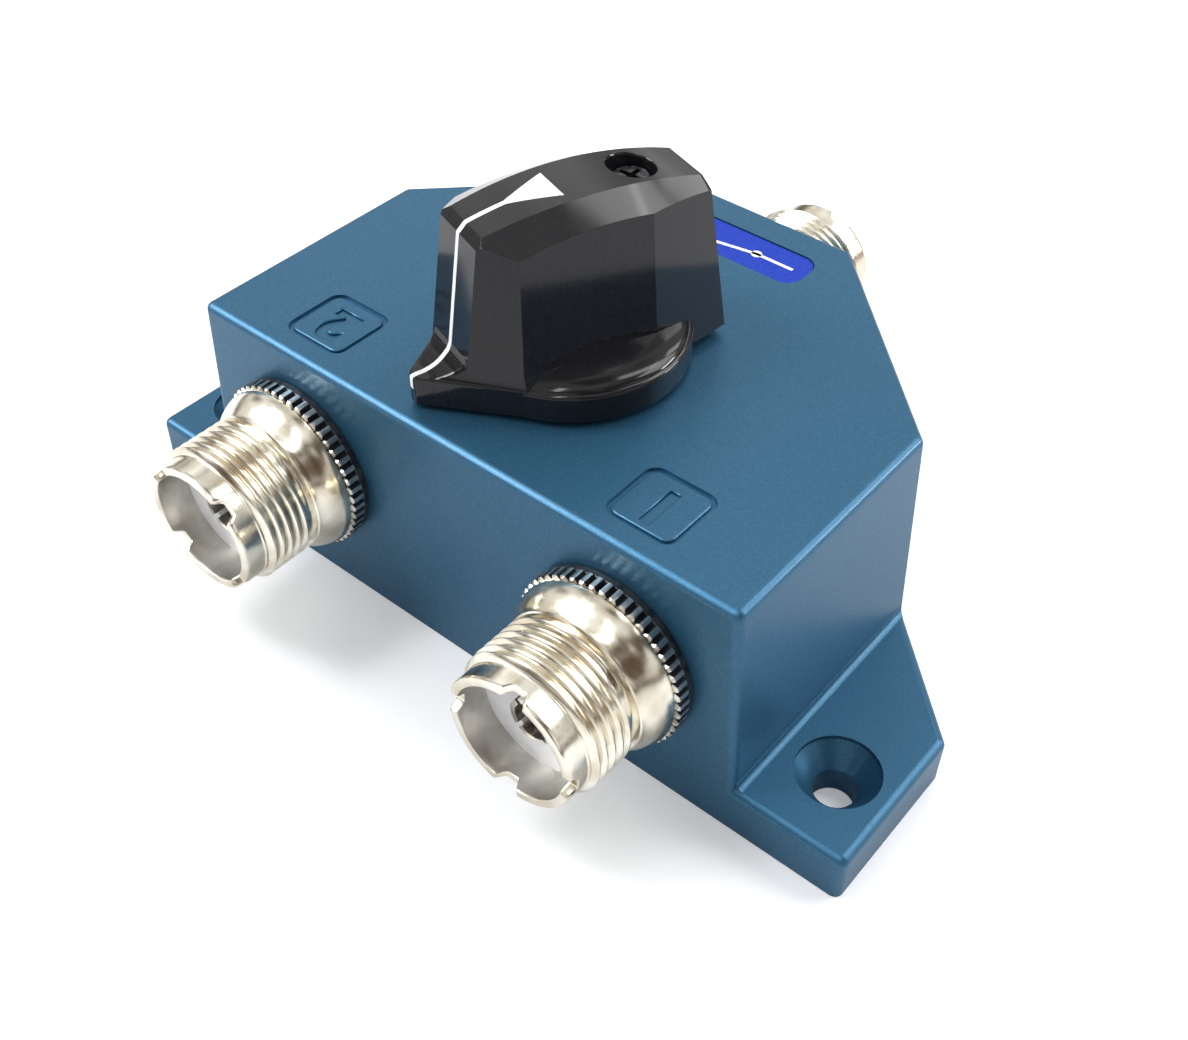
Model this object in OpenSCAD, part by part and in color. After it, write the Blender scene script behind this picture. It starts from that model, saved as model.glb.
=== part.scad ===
// Coaxial antenna switch: one common socket, two selectable sockets, rotary pointer knob.
// Millimetres. X to the right, Y from the two-socket face to the common socket, Z up.
// The origin is in the middle of the underside. Inside the modules, Y starts at the
// two-socket face, and from_front() puts each piece in its place.

/* [Housing] */
// Half width of the raised body at its top edge
body_half_w = 34.3; // [31:0.1:38]
// Half width over the two mounting ears
ear_half_w = 48; // [45:0.1:52]
// Half width of the narrow rear face
rear_half_w = 12; // [11:0.1:14]
// Depth from the front face to the rear face
body_d = 52.2; // [50:0.1:56]
// Height of the casting
body_h = 28.9; // [28:0.1:32]
// Lean of the two side walls, in degrees
side_draft = 3.4; // [0:0.1:4]
// Thickness of the mounting ears
ear_t = 5.7; // [4.5:0.1:7]
// Radius along the outer edges of the casting
edge_r = 0.9; // [0.5:0.1:1.2]
// Thickness of the front, side and rear walls
wall = 2.8; // [2.4:0.1:3.2]
// Thickness of the top wall
roof = 3; // [2.4:0.1:3.6]

/* [Mounting holes] */
// Distance between the two ear holes
ear_hole_pitch = 83.8; // [80:0.1:88]
// Distance of the ear holes behind the front face
ear_hole_y = 8.4; // [7:0.1:10]
// Radius of the screw hole
ear_hole_r = 2.2; // [1.6:0.05:2.6]
// Radius of the counterbore
ear_bore_r = 4.25; // [3.6:0.05:4.6]
// Depth of the counterbore
ear_bore_d = 3; // [2:0.1:4]

/* [Marker fields and label] */
// Side of the square marker field beside each front socket
marker_w = 8; // [6:0.1:9]
// Centre of the marker fields behind the front face
marker_y = 6.6; // [5.5:0.1:8]
// Depth of the marker fields
marker_d = 0.35; // [0.2:0.05:0.6]
// Width of the label
label_w = 21.8; // [16:0.1:22]
// Height of the label
label_h = 5.9; // [4:0.1:7]
// Centre of the label in front of the rear face
label_inset = 7.2; // [5.5:0.1:9]
// Thickness of the label
label_t = 0.4; // [0.2:0.05:0.6]
// Depth of the label below the casting's surface
label_sink = 0.15; // [0.05:0.05:0.3]

/* [Bottom cover] */
// Thickness of the cover
cover_t = 1.6; // [1.2:0.1:2]
// Width of the ledge that carries the cover
cover_ledge = 1.2; // [0.8:0.1:1.4]
// Height of the cover's underside above the feet of the casting
cover_lift = 0.2; // [0.1:0.05:0.5]
// Gap all round the cover
cover_gap = 0.15; // [0.1:0.05:0.3]
// Radius of the screw bosses in the corners
boss_r = 3; // [2.6:0.1:3.4]
// Radius of the cover screws' thread
cover_screw_r = 1.25; // [1:0.05:1.5]
// Length of the cover screws
cover_screw_l = 8; // [5:0.5:12]

/* [Sockets] */
// Distance of the front sockets' axes inside the top edge of the side walls
socket_inset = 13.4; // [12.4:0.1:14.4]
// Distance of the socket axes below the top of the casting
socket_drop = 13.6; // [12.9:0.1:14.2]
// Length from the wall to the rim
socket_l = 14.6; // [14:0.1:17]
// Radius of the thread
thread_r = 7.94; // [7.7:0.02:8.2]
// Distance from the wall to the start of the thread
thread_from = 5.6; // [5.2:0.1:6.2]
// Length of the thread
thread_l = 6.6; // [6:0.1:7]
// Radius of the plain nose in front of the thread
nose_r = 7.2; // [7:0.05:7.6]
// Radius of the mouth
mouth_r = 6.2; // [5.9:0.05:6.5]
// Depth of the mouth down to the insulator
mouth_d = 3.8; // [3:0.1:4.5]
// Radius of the knurled flange
flange_r = 9.6; // [9.2:0.05:9.8]
// Width of the knurl
knurl_w = 1.5; // [1:0.1:1.6]
// Width of the plain ring behind the knurl
flange_ring_w = 0.8; // [0.5:0.1:1]
// Number of knurl teeth
knurl_teeth = 51; // [40:1:64]
// Depth of the knurl
knurl_d = 0.45; // [0.3:0.05:0.6]
// Width of the four notches in the rim
notch_w = 2; // [1.5:0.1:2.4]
// Depth of the four notches
notch_d = 1.1; // [0.8:0.1:1.4]
// Radius of the threaded spigot behind the flange
spigot_r = 6; // [5.6:0.1:6.4]
// Length of the spigot
spigot_l = 6.6; // [6:0.1:7]
// Width of the hexagon nut across its flats
nut_af = 16.5; // [15:0.1:17]
// Thickness of the hexagon nut
nut_t = 2.4; // [2:0.1:3]
// Radius of the hole in the centre contact
contact_bore_r = 2; // [1.8:0.05:2.1]
// Wall of the centre contact
contact_wall = 0.55; // [0.45:0.05:0.7]
// Distance by which the centre contact stands out of the insulator
contact_proud = 0.6; // [0.3:0.1:1]
// Depth of the hole in the centre contact
contact_bore_d = 9; // [7:0.5:10]
// Length of the four slots in the centre contact
contact_slot_l = 6; // [4:0.5:7]
// Radius of the contact's rear pin
pin_r = 1.5; // [1.2:0.05:1.8]

/* [Knob] */
// Distance of the knob's axis behind the front face
knob_y = 18.8; // [18:0.1:20]
// Angle between the pointer and the middle line in both positions
knob_swing = 19.5; // [15:0.5:22]
// Gap between the knob and the casting
knob_gap = 0.5; // [0.4:0.05:1]
// Radius of the round skirt
skirt_r = 12.2; // [11.5:0.1:12.8]
// Height of the skirt's rim above the casting
skirt_h = 3.6; // [3:0.1:4.2]
// Height of the skirt's dome above its rim
dome_h = 1.9; // [1.2:0.1:2.4]
// Distance from the axis to the pointer's tip
tip_u = 17.5; // [16.5:0.1:18.5]
// Half thickness of the grip, just above the skirt
grip_half_t = 7.1; // [6.4:0.1:7.6]
// Height of the grip above the casting
grip_h = 19.5; // [18:0.1:21]
// Distance from the axis to the grip's front face
grip_front = 13.45; // [12.8:0.05:14]
// Distance from the axis to the grip's rear face
grip_back = 14.9; // [14:0.1:15.5]
// Radius of the arched top
arch_r = 46; // [40:1:60]
// Half width of the flat band along the top
top_half_w = 3.35; // [3:0.05:3.8]
// Slope of the two flanks beside the flat band, in degrees
flank_slope = 22; // [16:1:26]
// Distance of the knob screw behind the axis
screw_u = 6.45; // [6:0.05:7]
// Radius of the screw's recess
recess_r = 2.4; // [2.2:0.05:2.7]
// Depth of the screw's recess
recess_d = 2.6; // [2:0.1:3.5]

/* [Shaft and rotor] */
// Radius of the shaft
shaft_r = 3; // [2.8:0.05:3.2]
// Running clearance of the shaft in its bushing
shaft_clear = 0.05; // [0.03:0.01:0.08]
// Outer radius of the bushing
bushing_r = 4.6; // [4.4:0.1:5]
// Length by which the bushing reaches below the roof
bushing_below = 4; // [3:0.1:5]
// Radius of the detent disc
detent_r = 9; // [8:0.1:10]
// Thickness of the detent disc
detent_t = 1.6; // [1.2:0.1:2]
// Gap between parts that turn and parts that stand still
run_gap = 0.3; // [0.25:0.05:0.4]
// Radius of the detent ball
ball_r = 1.5; // [1.2:0.05:1.6]
// Radius of the rotor
rotor_r = 12.5; // [12:0.1:13]
// Thickness of the rotor
rotor_t = 4; // [3:0.1:5]
// Thickness of the sheet-metal contacts
sheet_t = 0.8; // [0.6:0.05:0.9]
// Thickness of the insulating wafer
wafer_t = 1.6; // [1.2:0.1:2]

/* [Hidden] */

$fn = 64;
eps = 0.01;
far = 200;

paint = [0.16, 0.37, 0.50];
nickel = [0.80, 0.79, 0.75];
ptfe = [0.93, 0.93, 0.92];
brass = [0.80, 0.64, 0.33];
silver = [0.88, 0.88, 0.86];
steel = [0.62, 0.63, 0.65];
black = [0.09, 0.09, 0.10];
blue = [0.10, 0.20, 0.80];
phenolic = [0.62, 0.43, 0.22];

// Plan of the casting: the rear corners are cut at 45 degrees, in one line with the ears.
lean = tan(side_draft);
foot_spread = lean * body_h;
ear_spread = lean * (body_h - ear_t);
ceiling_z = body_h - roof;
cover_top = cover_lift + cover_t;
cover_head_r = 2.5;
cover_head_t = 1.3;
boss_sink = 1.7;
side_boss_y = 14.5;
rear_boss_inset = 7.6;
bushing_boss_wall = 2.4;
pin_boss_wall = 1.4;
lug_boss_r = 2.6;
marker_corner_r = 1.5;
label_corner_r = 2;

// Seats that several pieces share.
socket_x = body_half_w - socket_inset;
socket_z = body_h - socket_drop;
insulator_face = socket_l - mouth_d;
contact_tip = insulator_face + contact_proud;
contact_r = contact_bore_r + contact_wall;
insulator_step = 2;
contact_slot_w = 0.5;
// Turn of the rim's notches in the two front shells and the common one, as they were screwed home.
notch_turn = [85, 47, 20];
insulator_neck_r = spigot_r - 1.6;
pin_flat_from = spigot_l + 0.6;
pin_l = 10.6;
strip_w = 3;
strip_y = (pin_flat_from + pin_l) / 2;
strip_z = socket_z;
wafer_z = strip_z + sheet_t;
bushing_proud = 0.2;
blade_z = strip_z - run_gap - sheet_t;
rotor_z = blade_z - rotor_t;
bushing_bottom = ceiling_z - bushing_below;
detent_z = bushing_bottom - run_gap - detent_t;
pad_r = (9.6 + rotor_r) / 2;
ring_in = 6.2;
ring_out = 7.8;
lug_x = 14.5;
lug_y = knob_y + 7.2;
ball_u = 6.9;
ball_hole_top = body_h - 1.3;
stop_u = 8;
stop_pin_r = 1.1;
collar_r = 5.2;
collar_from = 4.2;
collar_to = 12.6;
shaft_top = 11.8;
lug_from = 7;
lug_half_w = 3;
lug_h = 3.5;
knob_hollow_h = 2.9;
clip_t = 0.7;
clip_from = bushing_proud + run_gap;
clip_r = 5;
clip_gap = 3.8;
groove_r = 2.5;
flat_u = 2.3;
hub_r = 4.6;
ground_in = 9.6;
knob_screw_r = 1.25;
small_screw_r = 1;
wafer_screw_l = 7.2;
wafer_head_r = 2.1;
wafer_head_t = 1.4;
wafer_slot_w = 0.6;
rivet_r = 0.8;
rivet_x = socket_x - 5.4;
rivet_rear = 15.2;
rivets = [[rivet_x, strip_y], [-rivet_x, strip_y], [0, knob_y + rivet_rear]];
wafer_margin = 0.7;
bar_overhang = 2.5;
bar_w = 3.8;
tongue_w = 8;
tongue_l = rivet_rear + 3.8;
lug_r = 3.6;
rivet_head_r = 1.4;
rivet_head_t = 0.6;
pad_end_r = 2;
common_w = 5;
finger_w = 3.4;
finger_tail = 2.4;
finger_in = ground_in + 0.6;
stop_pin_in_roof = 5;
blade_w = 4;
blade_from = 5.4;
blade_slit = 0.8;
blade_slit_from = 8.4;
rim_gap = 0.3;
ground_open = 27;
rotor_screw_head_r = 3.8;
rotor_screw_head_t = 1.8;
rotor_screw_l = 5.5;
dimple_d = 0.45;
spring_wire_r = 0.18;
spring_turns = 3;
head_r = recess_r - 0.2;
head_t = 1.5;

// Facets of the grip. Each leans inwards by its tilt, measured from the foot of the grip.
grip_foot = 4;
grip_overhang_h = 1;
side_tilt = 2.1;
front_tilt = 7.3;
back_tilt = 7.8;
bevel_tilt = 3.8;
bevel_u = 9.45;
bevel_azimuth = 46.8;
rear_facet_u = 6;
rear_azimuth = 103.9;
arch_u = 0.5;

// The nose at rising heights: height, place of the side corner along and across the pointer,
// place and half width of the front edge, and how far its ends lie back.
nose_levels = [
  [knob_gap, 9.3, 7.7, tip_u, 0.7, 0.35],
  [3.45, 9.3, 7.7, tip_u, 0.7, 0.35],
  [3.6, 9.3, 7.68, tip_u - 1.4, 1.55, 0.2],
  [3.85, 9.3, 7.6, tip_u - 2.3, 2.1, 0.15],
  [4.25, 9.33, 7.45, tip_u - 3.05, 2.6, 0.1],
  [4.7, 9.35, 7.3, tip_u - 3.55, 2.95, 0.08],
  [5.1, 9.36, 7.18, grip_front + 0.1, 3.22, 0.05],
  [5.6, 9.36, 7.08, grip_front - 0.15, 3.4, 0.02],
  [6.12, 9.3, 6.99, grip_front - 0.29, 3.36, 0.02],
  [8, 9, 6.6, grip_front - 0.65, 3.2, 0.02]
];
recess_floor = arch_h(-screw_u) - recess_d;

// ---------- helpers ----------

// Moves a piece that is drawn with Y = 0 on the front face.
module from_front() {
  translate([0, -body_d / 2, 0]) children();
}

// Places a piece at the axis of one of the three sockets, pointing out of its wall.
module at_socket(which) {
  if (which == 1) translate([socket_x, 0, socket_z]) rotate([90, 0, 0]) children();
  if (which == 2) translate([-socket_x, 0, socket_z]) rotate([90, 0, 0]) children();
  if (which == 3) translate([0, body_d, socket_z]) rotate([-90, 0, 0]) children();
}

// Places a piece in the knob's own frame: X along the pointer, Z up from the casting.
module at_knob() {
  translate([0, knob_y, body_h]) rotate([0, 0, -90 - knob_swing]) children();
}

// Places a piece on the knob's axis, with X along the pointer and Z up from the underside.
module at_rotor() {
  translate([0, knob_y, 0]) rotate([0, 0, -90 - knob_swing]) children();
}

// A rectangle with round corners, centred.
module round_rect(w, h, r) {
  square([w - 2 * r, h], center = true);
  square([w, h - 2 * r], center = true);
  for (x = [-1, 1], y = [-1, 1]) translate([x * (w / 2 - r), y * (h / 2 - r)]) circle(r, $fn = 32);
}

// A ring sector from angle a0 to a1.
module sector(r_in, r_out, a0, a1) {
  steps = 24;
  polygon(concat(
    [for (i = [0:steps]) let (a = a0 + (a1 - a0) * i / steps) r_out * [cos(a), sin(a)]],
    [for (i = [steps:-1:0]) let (a = a0 + (a1 - a0) * i / steps) r_in * [cos(a), sin(a)]]
  ));
}

// ---------- casting ----------

// Corners of the plan, drawn in by inset; spread moves the two slanting sides outwards.
function body_plan(half_w, inset, spread = 0) = let (
    w = half_w - inset,
    cut = body_d + rear_half_w + (spread - inset) * sqrt(2),
    back = body_d - inset
  ) [
    [-w, inset], [w, inset], [w, cut - w], [cut - back, back], [back - cut, back], [-w, cut - w]
  ];

// The raised body: rounded top edge, side walls that lean outwards to the foot.
module body_block() {
  hull() {
    for (p = body_plan(body_half_w, edge_r)) translate([p[0], p[1], body_h - edge_r])
      sphere(edge_r, $fn = 32);
    for (p = body_plan(body_half_w + foot_spread, edge_r, foot_spread)) translate([p[0], p[1], 0])
      cylinder(h = eps, r = edge_r, $fn = 32);
  }
}

// The two ears and the foot between them, with the same round edges.
module ear_block() {
  hull() for (p = body_plan(ear_half_w, edge_r, ear_spread)) {
    translate([p[0], p[1], ear_t - edge_r]) sphere(edge_r, $fn = 32);
    translate([p[0], p[1], 0]) cylinder(h = eps, r = edge_r, $fn = 32);
  }
}

// Places something at each of the four cover screws.
module each_cover_screw() {
  for (s = [-1, 1]) {
    translate([s * (body_half_w - wall - boss_r + boss_sink), side_boss_y, 0]) children();
    translate([s * rear_half_w, body_d - rear_boss_inset, 0]) children();
  }
}

module cavity() {
  difference() {
    translate([0, 0, cover_top]) linear_extrude(ceiling_z - cover_top)
      polygon(body_plan(body_half_w, wall));
    translate([0, 0, cover_top]) each_cover_screw() cylinder(h = far, r = boss_r);
    translate([0, knob_y, bushing_bottom]) cylinder(h = far, r = bushing_r + bushing_boss_wall);
    translate([0, knob_y + ball_u, bushing_bottom]) cylinder(h = far, r = ball_r + pin_boss_wall);
    translate([0, knob_y - stop_u, bushing_bottom + 1])
      cylinder(h = far, r = stop_pin_r + pin_boss_wall);
    for (s = [-1, 1]) translate([s * lug_x, lug_y, wafer_z + wafer_t])
      cylinder(h = far, r = lug_boss_r);
  }
}

module housing() {
  color(paint) from_front() difference() {
    union() {
      body_block();
      ear_block();
    }
    cavity();
    translate([0, 0, -eps]) linear_extrude(cover_top + 2 * eps)
      polygon(body_plan(body_half_w, wall - cover_ledge));
    each_cover_screw() cylinder(h = cover_top + cover_screw_l + 1, r = cover_screw_r, $fn = 32);
    for (which = [1:3]) at_socket(which) translate([0, 0, -wall - 0.5])
      cylinder(h = wall + 1, r = spigot_r);
    for (s = [-1, 1]) translate([s * ear_hole_pitch / 2, ear_hole_y, 0]) {
      translate([0, 0, -1]) cylinder(h = far / 10, r = ear_hole_r);
      translate([0, 0, ear_t - ear_bore_d]) cylinder(h = far / 10, r = ear_bore_r);
    }
    for (s = [-1, 1]) translate([s * socket_x, marker_y, body_h - marker_d])
      linear_extrude(1) round_rect(marker_w, marker_w, marker_corner_r);
    translate([0, body_d - label_inset, body_h - label_t - label_sink])
      linear_extrude(2) round_rect(label_w, label_h, label_corner_r);
    translate([0, knob_y, bushing_bottom - 1]) cylinder(h = far / 10, r = bushing_r);
    translate([0, knob_y + ball_u, bushing_bottom - 1])
      cylinder(h = ball_hole_top - bushing_bottom + 1, r = ball_r, $fn = 48);
    translate([0, knob_y - stop_u, bushing_bottom])
      cylinder(h = stop_pin_in_roof, r = stop_pin_r, $fn = 32);
    for (s = [-1, 1]) translate([s * lug_x, lug_y, strip_z])
      cylinder(h = wafer_screw_l, r = small_screw_r, $fn = 32);
  }
}

module bottom_cover() {
  color(steel) from_front() difference() {
    translate([0, 0, cover_lift]) linear_extrude(cover_t)
      polygon(body_plan(body_half_w, wall - cover_ledge + cover_gap));
    each_cover_screw() {
      translate([0, 0, -1]) cylinder(h = far / 10, r = cover_screw_r + 0.2, $fn = 32);
      translate([0, 0, cover_lift]) cover_screw_head();
    }
  }
}

// Countersunk head of a cover screw, flush with the cover.
module cover_screw_head() {
  translate([0, 0, -eps]) cylinder(h = eps, r = cover_head_r, $fn = 48);
  cylinder(h = cover_head_t, r1 = cover_head_r, r2 = cover_screw_r, $fn = 48);
}

module cover_screws() {
  color(steel) from_front() each_cover_screw() translate([0, 0, cover_lift]) difference() {
    union() {
      cylinder(h = cover_head_t, r1 = cover_head_r, r2 = cover_screw_r, $fn = 48);
      cylinder(h = cover_screw_l, r = cover_screw_r, $fn = 32);
    }
    for (a = [0, 90]) rotate([0, 0, a]) translate([0, 0, 0.3]) cube([2.6, 0.6, 0.8], center = true);
  }
}

module label_plate() {
  color(blue) from_front() translate([0, body_d - label_inset, body_h - label_t - label_sink])
    linear_extrude(label_t) round_rect(label_w - 0.2, label_h - 0.2, label_corner_r - 0.1);
}

// ---------- sockets ----------

// Half section of the shell: X is the radius, Y the distance out of the wall.
module shell_section() {
  shoulder = flange_ring_w + knurl_w;
  root = flange_r - knurl_d - 0.1;
  thread_to = thread_from + thread_l;
  blend_r = thread_from - shoulder;
  steps = 10;
  polygon(concat(
    [
      [insulator_neck_r, -spigot_l], [spigot_r, -spigot_l], [spigot_r, 0],
      [flange_r - 0.2, 0], [flange_r - 0.2, flange_ring_w], [root, flange_ring_w], [root, shoulder]
    ],
    [for (i = [0:steps]) let (a = 90 * i / steps)
      [thread_r + (root - thread_r) * cos(a), shoulder + 0.2 + (blend_r - 0.2) * sin(a)]],
    [
      [thread_r, thread_from], [thread_r, thread_to - 0.3], [nose_r + 0.3, thread_to],
      [nose_r, thread_to], [nose_r, socket_l - 0.25], [nose_r - 0.25, socket_l],
      [mouth_r + 0.15, socket_l], [mouth_r, socket_l - 0.15],
      [mouth_r, insulator_step], [insulator_neck_r, insulator_step]
    ]
  ));
}

// The knurl: a disc whose edge is cut into teeth.
module knurl_disc() {
  tooth = 360 / knurl_teeth;
  polygon([for (i = [0:knurl_teeth - 1]) each [
    flange_r * [cos(tooth * (i - 0.22)), sin(tooth * (i - 0.22))],
    flange_r * [cos(tooth * (i + 0.22)), sin(tooth * (i + 0.22))],
    (flange_r - knurl_d) * [cos(tooth * (i + 0.5)), sin(tooth * (i + 0.5))]
  ]]);
}

// One socket shell; the notches in its rim start at the given angle.
module socket_shell(notch_at) {
  color(nickel) difference() {
    union() {
      rotate_extrude($fn = 96) shell_section();
      translate([0, 0, flange_ring_w]) linear_extrude(knurl_w) difference() {
        knurl_disc();
        circle(flange_r - 1.5);
      }
    }
    for (i = [0:3]) rotate([0, 0, notch_at + 90 * i])
      translate([mouth_r - 1, -notch_w / 2, socket_l - notch_d]) cube([4, notch_w, 2]);
  }
}

module socket_insulator() {
  color(ptfe) difference() {
    union() {
      translate([0, 0, insulator_step]) cylinder(h = insulator_face - insulator_step, r = mouth_r);
      translate([0, 0, -spigot_l - 0.3])
        cylinder(h = insulator_step + spigot_l + 0.3, r = insulator_neck_r);
    }
    translate([0, 0, contact_tip - contact_bore_d - 1]) cylinder(h = far / 10, r = contact_r);
    translate([0, 0, -far / 10]) cylinder(h = far / 5, r = pin_r, $fn = 48);
  }
}

// Slotted centre contact; a flat on its rear pin carries the flat of the strip.
module socket_contact(flat_side) {
  color(silver) difference() {
    union() {
      translate([0, 0, contact_tip - contact_bore_d - 1])
        cylinder(h = contact_bore_d + 1, r = contact_r);
      translate([0, 0, -pin_l]) cylinder(h = pin_l + insulator_step, r = pin_r, $fn = 48);
    }
    translate([0, 0, contact_tip - contact_bore_d]) cylinder(h = contact_bore_d + 1, r = contact_bore_r);
    for (a = [0, 90]) rotate([0, 0, a + 45])
      translate([-2 * contact_r, -contact_slot_w / 2, contact_tip - contact_slot_l])
        cube([4 * contact_r, contact_slot_w, contact_slot_l + 1]);
    translate([-5, flat_side > 0 ? 0 : -10, -pin_l - 1]) cube([10, 10, pin_l + 1 - pin_flat_from]);
  }
}

module socket_1_shell() { from_front() at_socket(1) socket_shell(notch_turn[0]); }
module socket_2_shell() { from_front() at_socket(2) socket_shell(notch_turn[1]); }
module socket_common_shell() { from_front() at_socket(3) socket_shell(notch_turn[2]); }
module socket_1_insulator() { from_front() at_socket(1) socket_insulator(); }
module socket_2_insulator() { from_front() at_socket(2) socket_insulator(); }
module socket_common_insulator() { from_front() at_socket(3) socket_insulator(); }
module socket_1_contact() { from_front() at_socket(1) socket_contact(1); }
module socket_2_contact() { from_front() at_socket(2) socket_contact(1); }
module socket_common_contact() { from_front() at_socket(3) socket_contact(-1); }

// Hexagon nuts that clamp the three shells from inside.
module socket_nuts() {
  color(nickel) from_front() for (which = [1:3])
    at_socket(which) translate([0, 0, -wall - nut_t]) difference() {
      cylinder(h = nut_t, r = nut_af / 2 / cos(30), $fn = 6);
      translate([0, 0, -1]) cylinder(h = nut_t + 2, r = spigot_r);
    }
}

// ---------- shaft bearing, detent and fixed contacts ----------

module shaft_bushing() {
  color(brass) from_front() translate([0, knob_y, bushing_bottom]) difference() {
    cylinder(h = body_h + bushing_proud - bushing_bottom, r = bushing_r);
    translate([0, 0, -1]) cylinder(h = far / 10, r = shaft_r + shaft_clear);
  }
}

module detent_ball() {
  color(steel) from_front() translate([0, knob_y + ball_u, detent_z + detent_t + run_gap + ball_r])
    sphere(ball_r - 0.05, $fn = 48);
}

// Compression spring over the detent ball, one tube along a helix.
module detent_spring() {
  wire_r = spring_wire_r;
  coil_r = ball_r - wire_r - 0.12;
  from = detent_z + detent_t + run_gap + 2 * ball_r + wire_r;
  to = ball_hole_top - wire_r - 0.05;
  per_turn = 12;
  rings = spring_turns * per_turn;
  sides = 6;
  pts = [for (i = [0:rings], j = [0:sides - 1]) let (
      a = 360 * i / per_turn,
      b = 360 * j / sides,
      r = coil_r + wire_r * cos(b)
    ) [r * cos(a), r * sin(a), from + (to - from) * i / rings + wire_r * sin(b)]];
  side_faces = [for (i = [0:rings - 1], j = [0:sides - 1]) let (
      a = i * sides + j,
      b = i * sides + (j + 1) % sides
    ) each [[a, a + sides, b + sides], [a, b + sides, b]]];
  ends = [[for (j = [0:sides - 1]) j], [for (j = [sides - 1:-1:0]) rings * sides + j]];
  color(steel) from_front() translate([0, knob_y + ball_u, 0]) polyhedron(pts, concat(side_faces, ends));
}

module stop_pin() {
  color(steel) from_front() translate([0, knob_y - stop_u, detent_z])
    cylinder(h = bushing_bottom + stop_pin_in_roof - detent_z, r = stop_pin_r, $fn = 32);
}

// Insulating wafer under the roof; it carries the three strips on its underside.
module contact_wafer() {
  color(phenolic) from_front() translate([0, 0, wafer_z]) linear_extrude(wafer_t) difference() {
    union() {
      translate([0, knob_y]) circle(rotor_r + wafer_margin);
      translate([-rivet_x - bar_overhang, strip_y - bar_w / 2])
        square([2 * (rivet_x + bar_overhang), bar_w]);
      translate([-tongue_w / 2, knob_y]) square([tongue_w, tongue_l]);
      for (s = [-1, 1]) translate([s * lug_x, lug_y]) circle(lug_r);
    }
    translate([0, knob_y]) circle(hub_r + 0.8);
    for (s = [-1, 1]) translate([s * lug_x, lug_y]) circle(small_screw_r, $fn = 32);
    for (p = rivets) translate(p) circle(rivet_r, $fn = 32);
  }
}

module wafer_screws() {
  color(steel) from_front() for (s = [-1, 1]) translate([s * lug_x, lug_y, strip_z]) difference() {
    union() {
      translate([0, 0, -wafer_head_t]) cylinder(h = wafer_head_t, r = wafer_head_r, $fn = 48);
      cylinder(h = wafer_screw_l, r = small_screw_r, $fn = 32);
    }
    translate([0, 0, -wafer_head_t])
      cube([2 * wafer_head_r - 1, wafer_slot_w, 2 * wafer_slot_w], center = true);
  }
}

module wafer_rivets() {
  color(brass) from_front() for (p = rivets) translate([p[0], p[1], strip_z]) {
    translate([0, 0, -rivet_head_t]) cylinder(h = rivet_head_t, r = rivet_head_r, $fn = 32);
    cylinder(h = sheet_t + wafer_t, r = rivet_r, $fn = 32);
    translate([0, 0, sheet_t + wafer_t]) cylinder(h = rivet_head_t, r = rivet_head_r, $fn = 32);
  }
}

// Flat conductor from a front socket's pin to its pad over the rotor.
module port_strip(side) {
  pad = [side * pad_r * sin(knob_swing), knob_y - pad_r * cos(knob_swing)];
  color(silver) from_front() translate([0, 0, strip_z]) linear_extrude(sheet_t) difference() {
    union() {
      translate(pad) circle(pad_end_r);
      translate([min(pad[0], side * (socket_x + pin_r)), strip_y - strip_w / 2])
        square([abs(socket_x + pin_r - abs(pad[0])), strip_w]);
    }
    translate([side * rivet_x, strip_y]) circle(rivet_r, $fn = 32);
  }
}

module strip_1() { port_strip(1); }
module strip_2() { port_strip(-1); }

// Conductor from the common socket's pin to the ring round the rotor's hub.
module strip_common() {
  bar_end = body_d - pin_flat_from;
  color(silver) from_front() translate([0, 0, strip_z]) linear_extrude(sheet_t) difference() {
    union() {
      translate([0, knob_y]) circle(ring_out);
      translate([-common_w / 2, knob_y]) square([common_w, bar_end - knob_y]);
    }
    translate([0, knob_y]) circle(ring_in);
    translate(rivets[2]) circle(rivet_r, $fn = 32);
  }
}

// Two fingers, clamped under the wafer's lugs, that ground the rotor's outer ring.
module ground_fingers() {
  reach = norm([lug_x, lug_y - knob_y]);
  color(brass) from_front() for (s = [-1, 1]) difference() {
    translate([0, knob_y, strip_z]) rotate([0, 0, atan2(lug_y - knob_y, s * lug_x)])
      translate([finger_in, -finger_w / 2, 0]) cube([reach + finger_tail - finger_in, finger_w, sheet_t]);
    translate([s * lug_x, lug_y, strip_z - 1]) cylinder(h = sheet_t + 2, r = small_screw_r, $fn = 32);
  }
}

// ---------- knob ----------

// Removes all beyond a plane that passes through [u, v] at the grip's foot and leans inwards.
module lean_cut(u, v, azimuth, tilt) {
  translate([u, v, grip_foot]) rotate([0, 0, azimuth]) rotate([0, -tilt, 0])
    translate([0, -far / 4, -far / 4]) cube([far / 2, far / 2, far / 2]);
}

// Height of the arched top above the casting, at the distance u from the axis.
function arch_h(u) = grip_h - arch_r + sqrt(pow(arch_r, 2) - pow(u - arch_u, 2));

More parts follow.
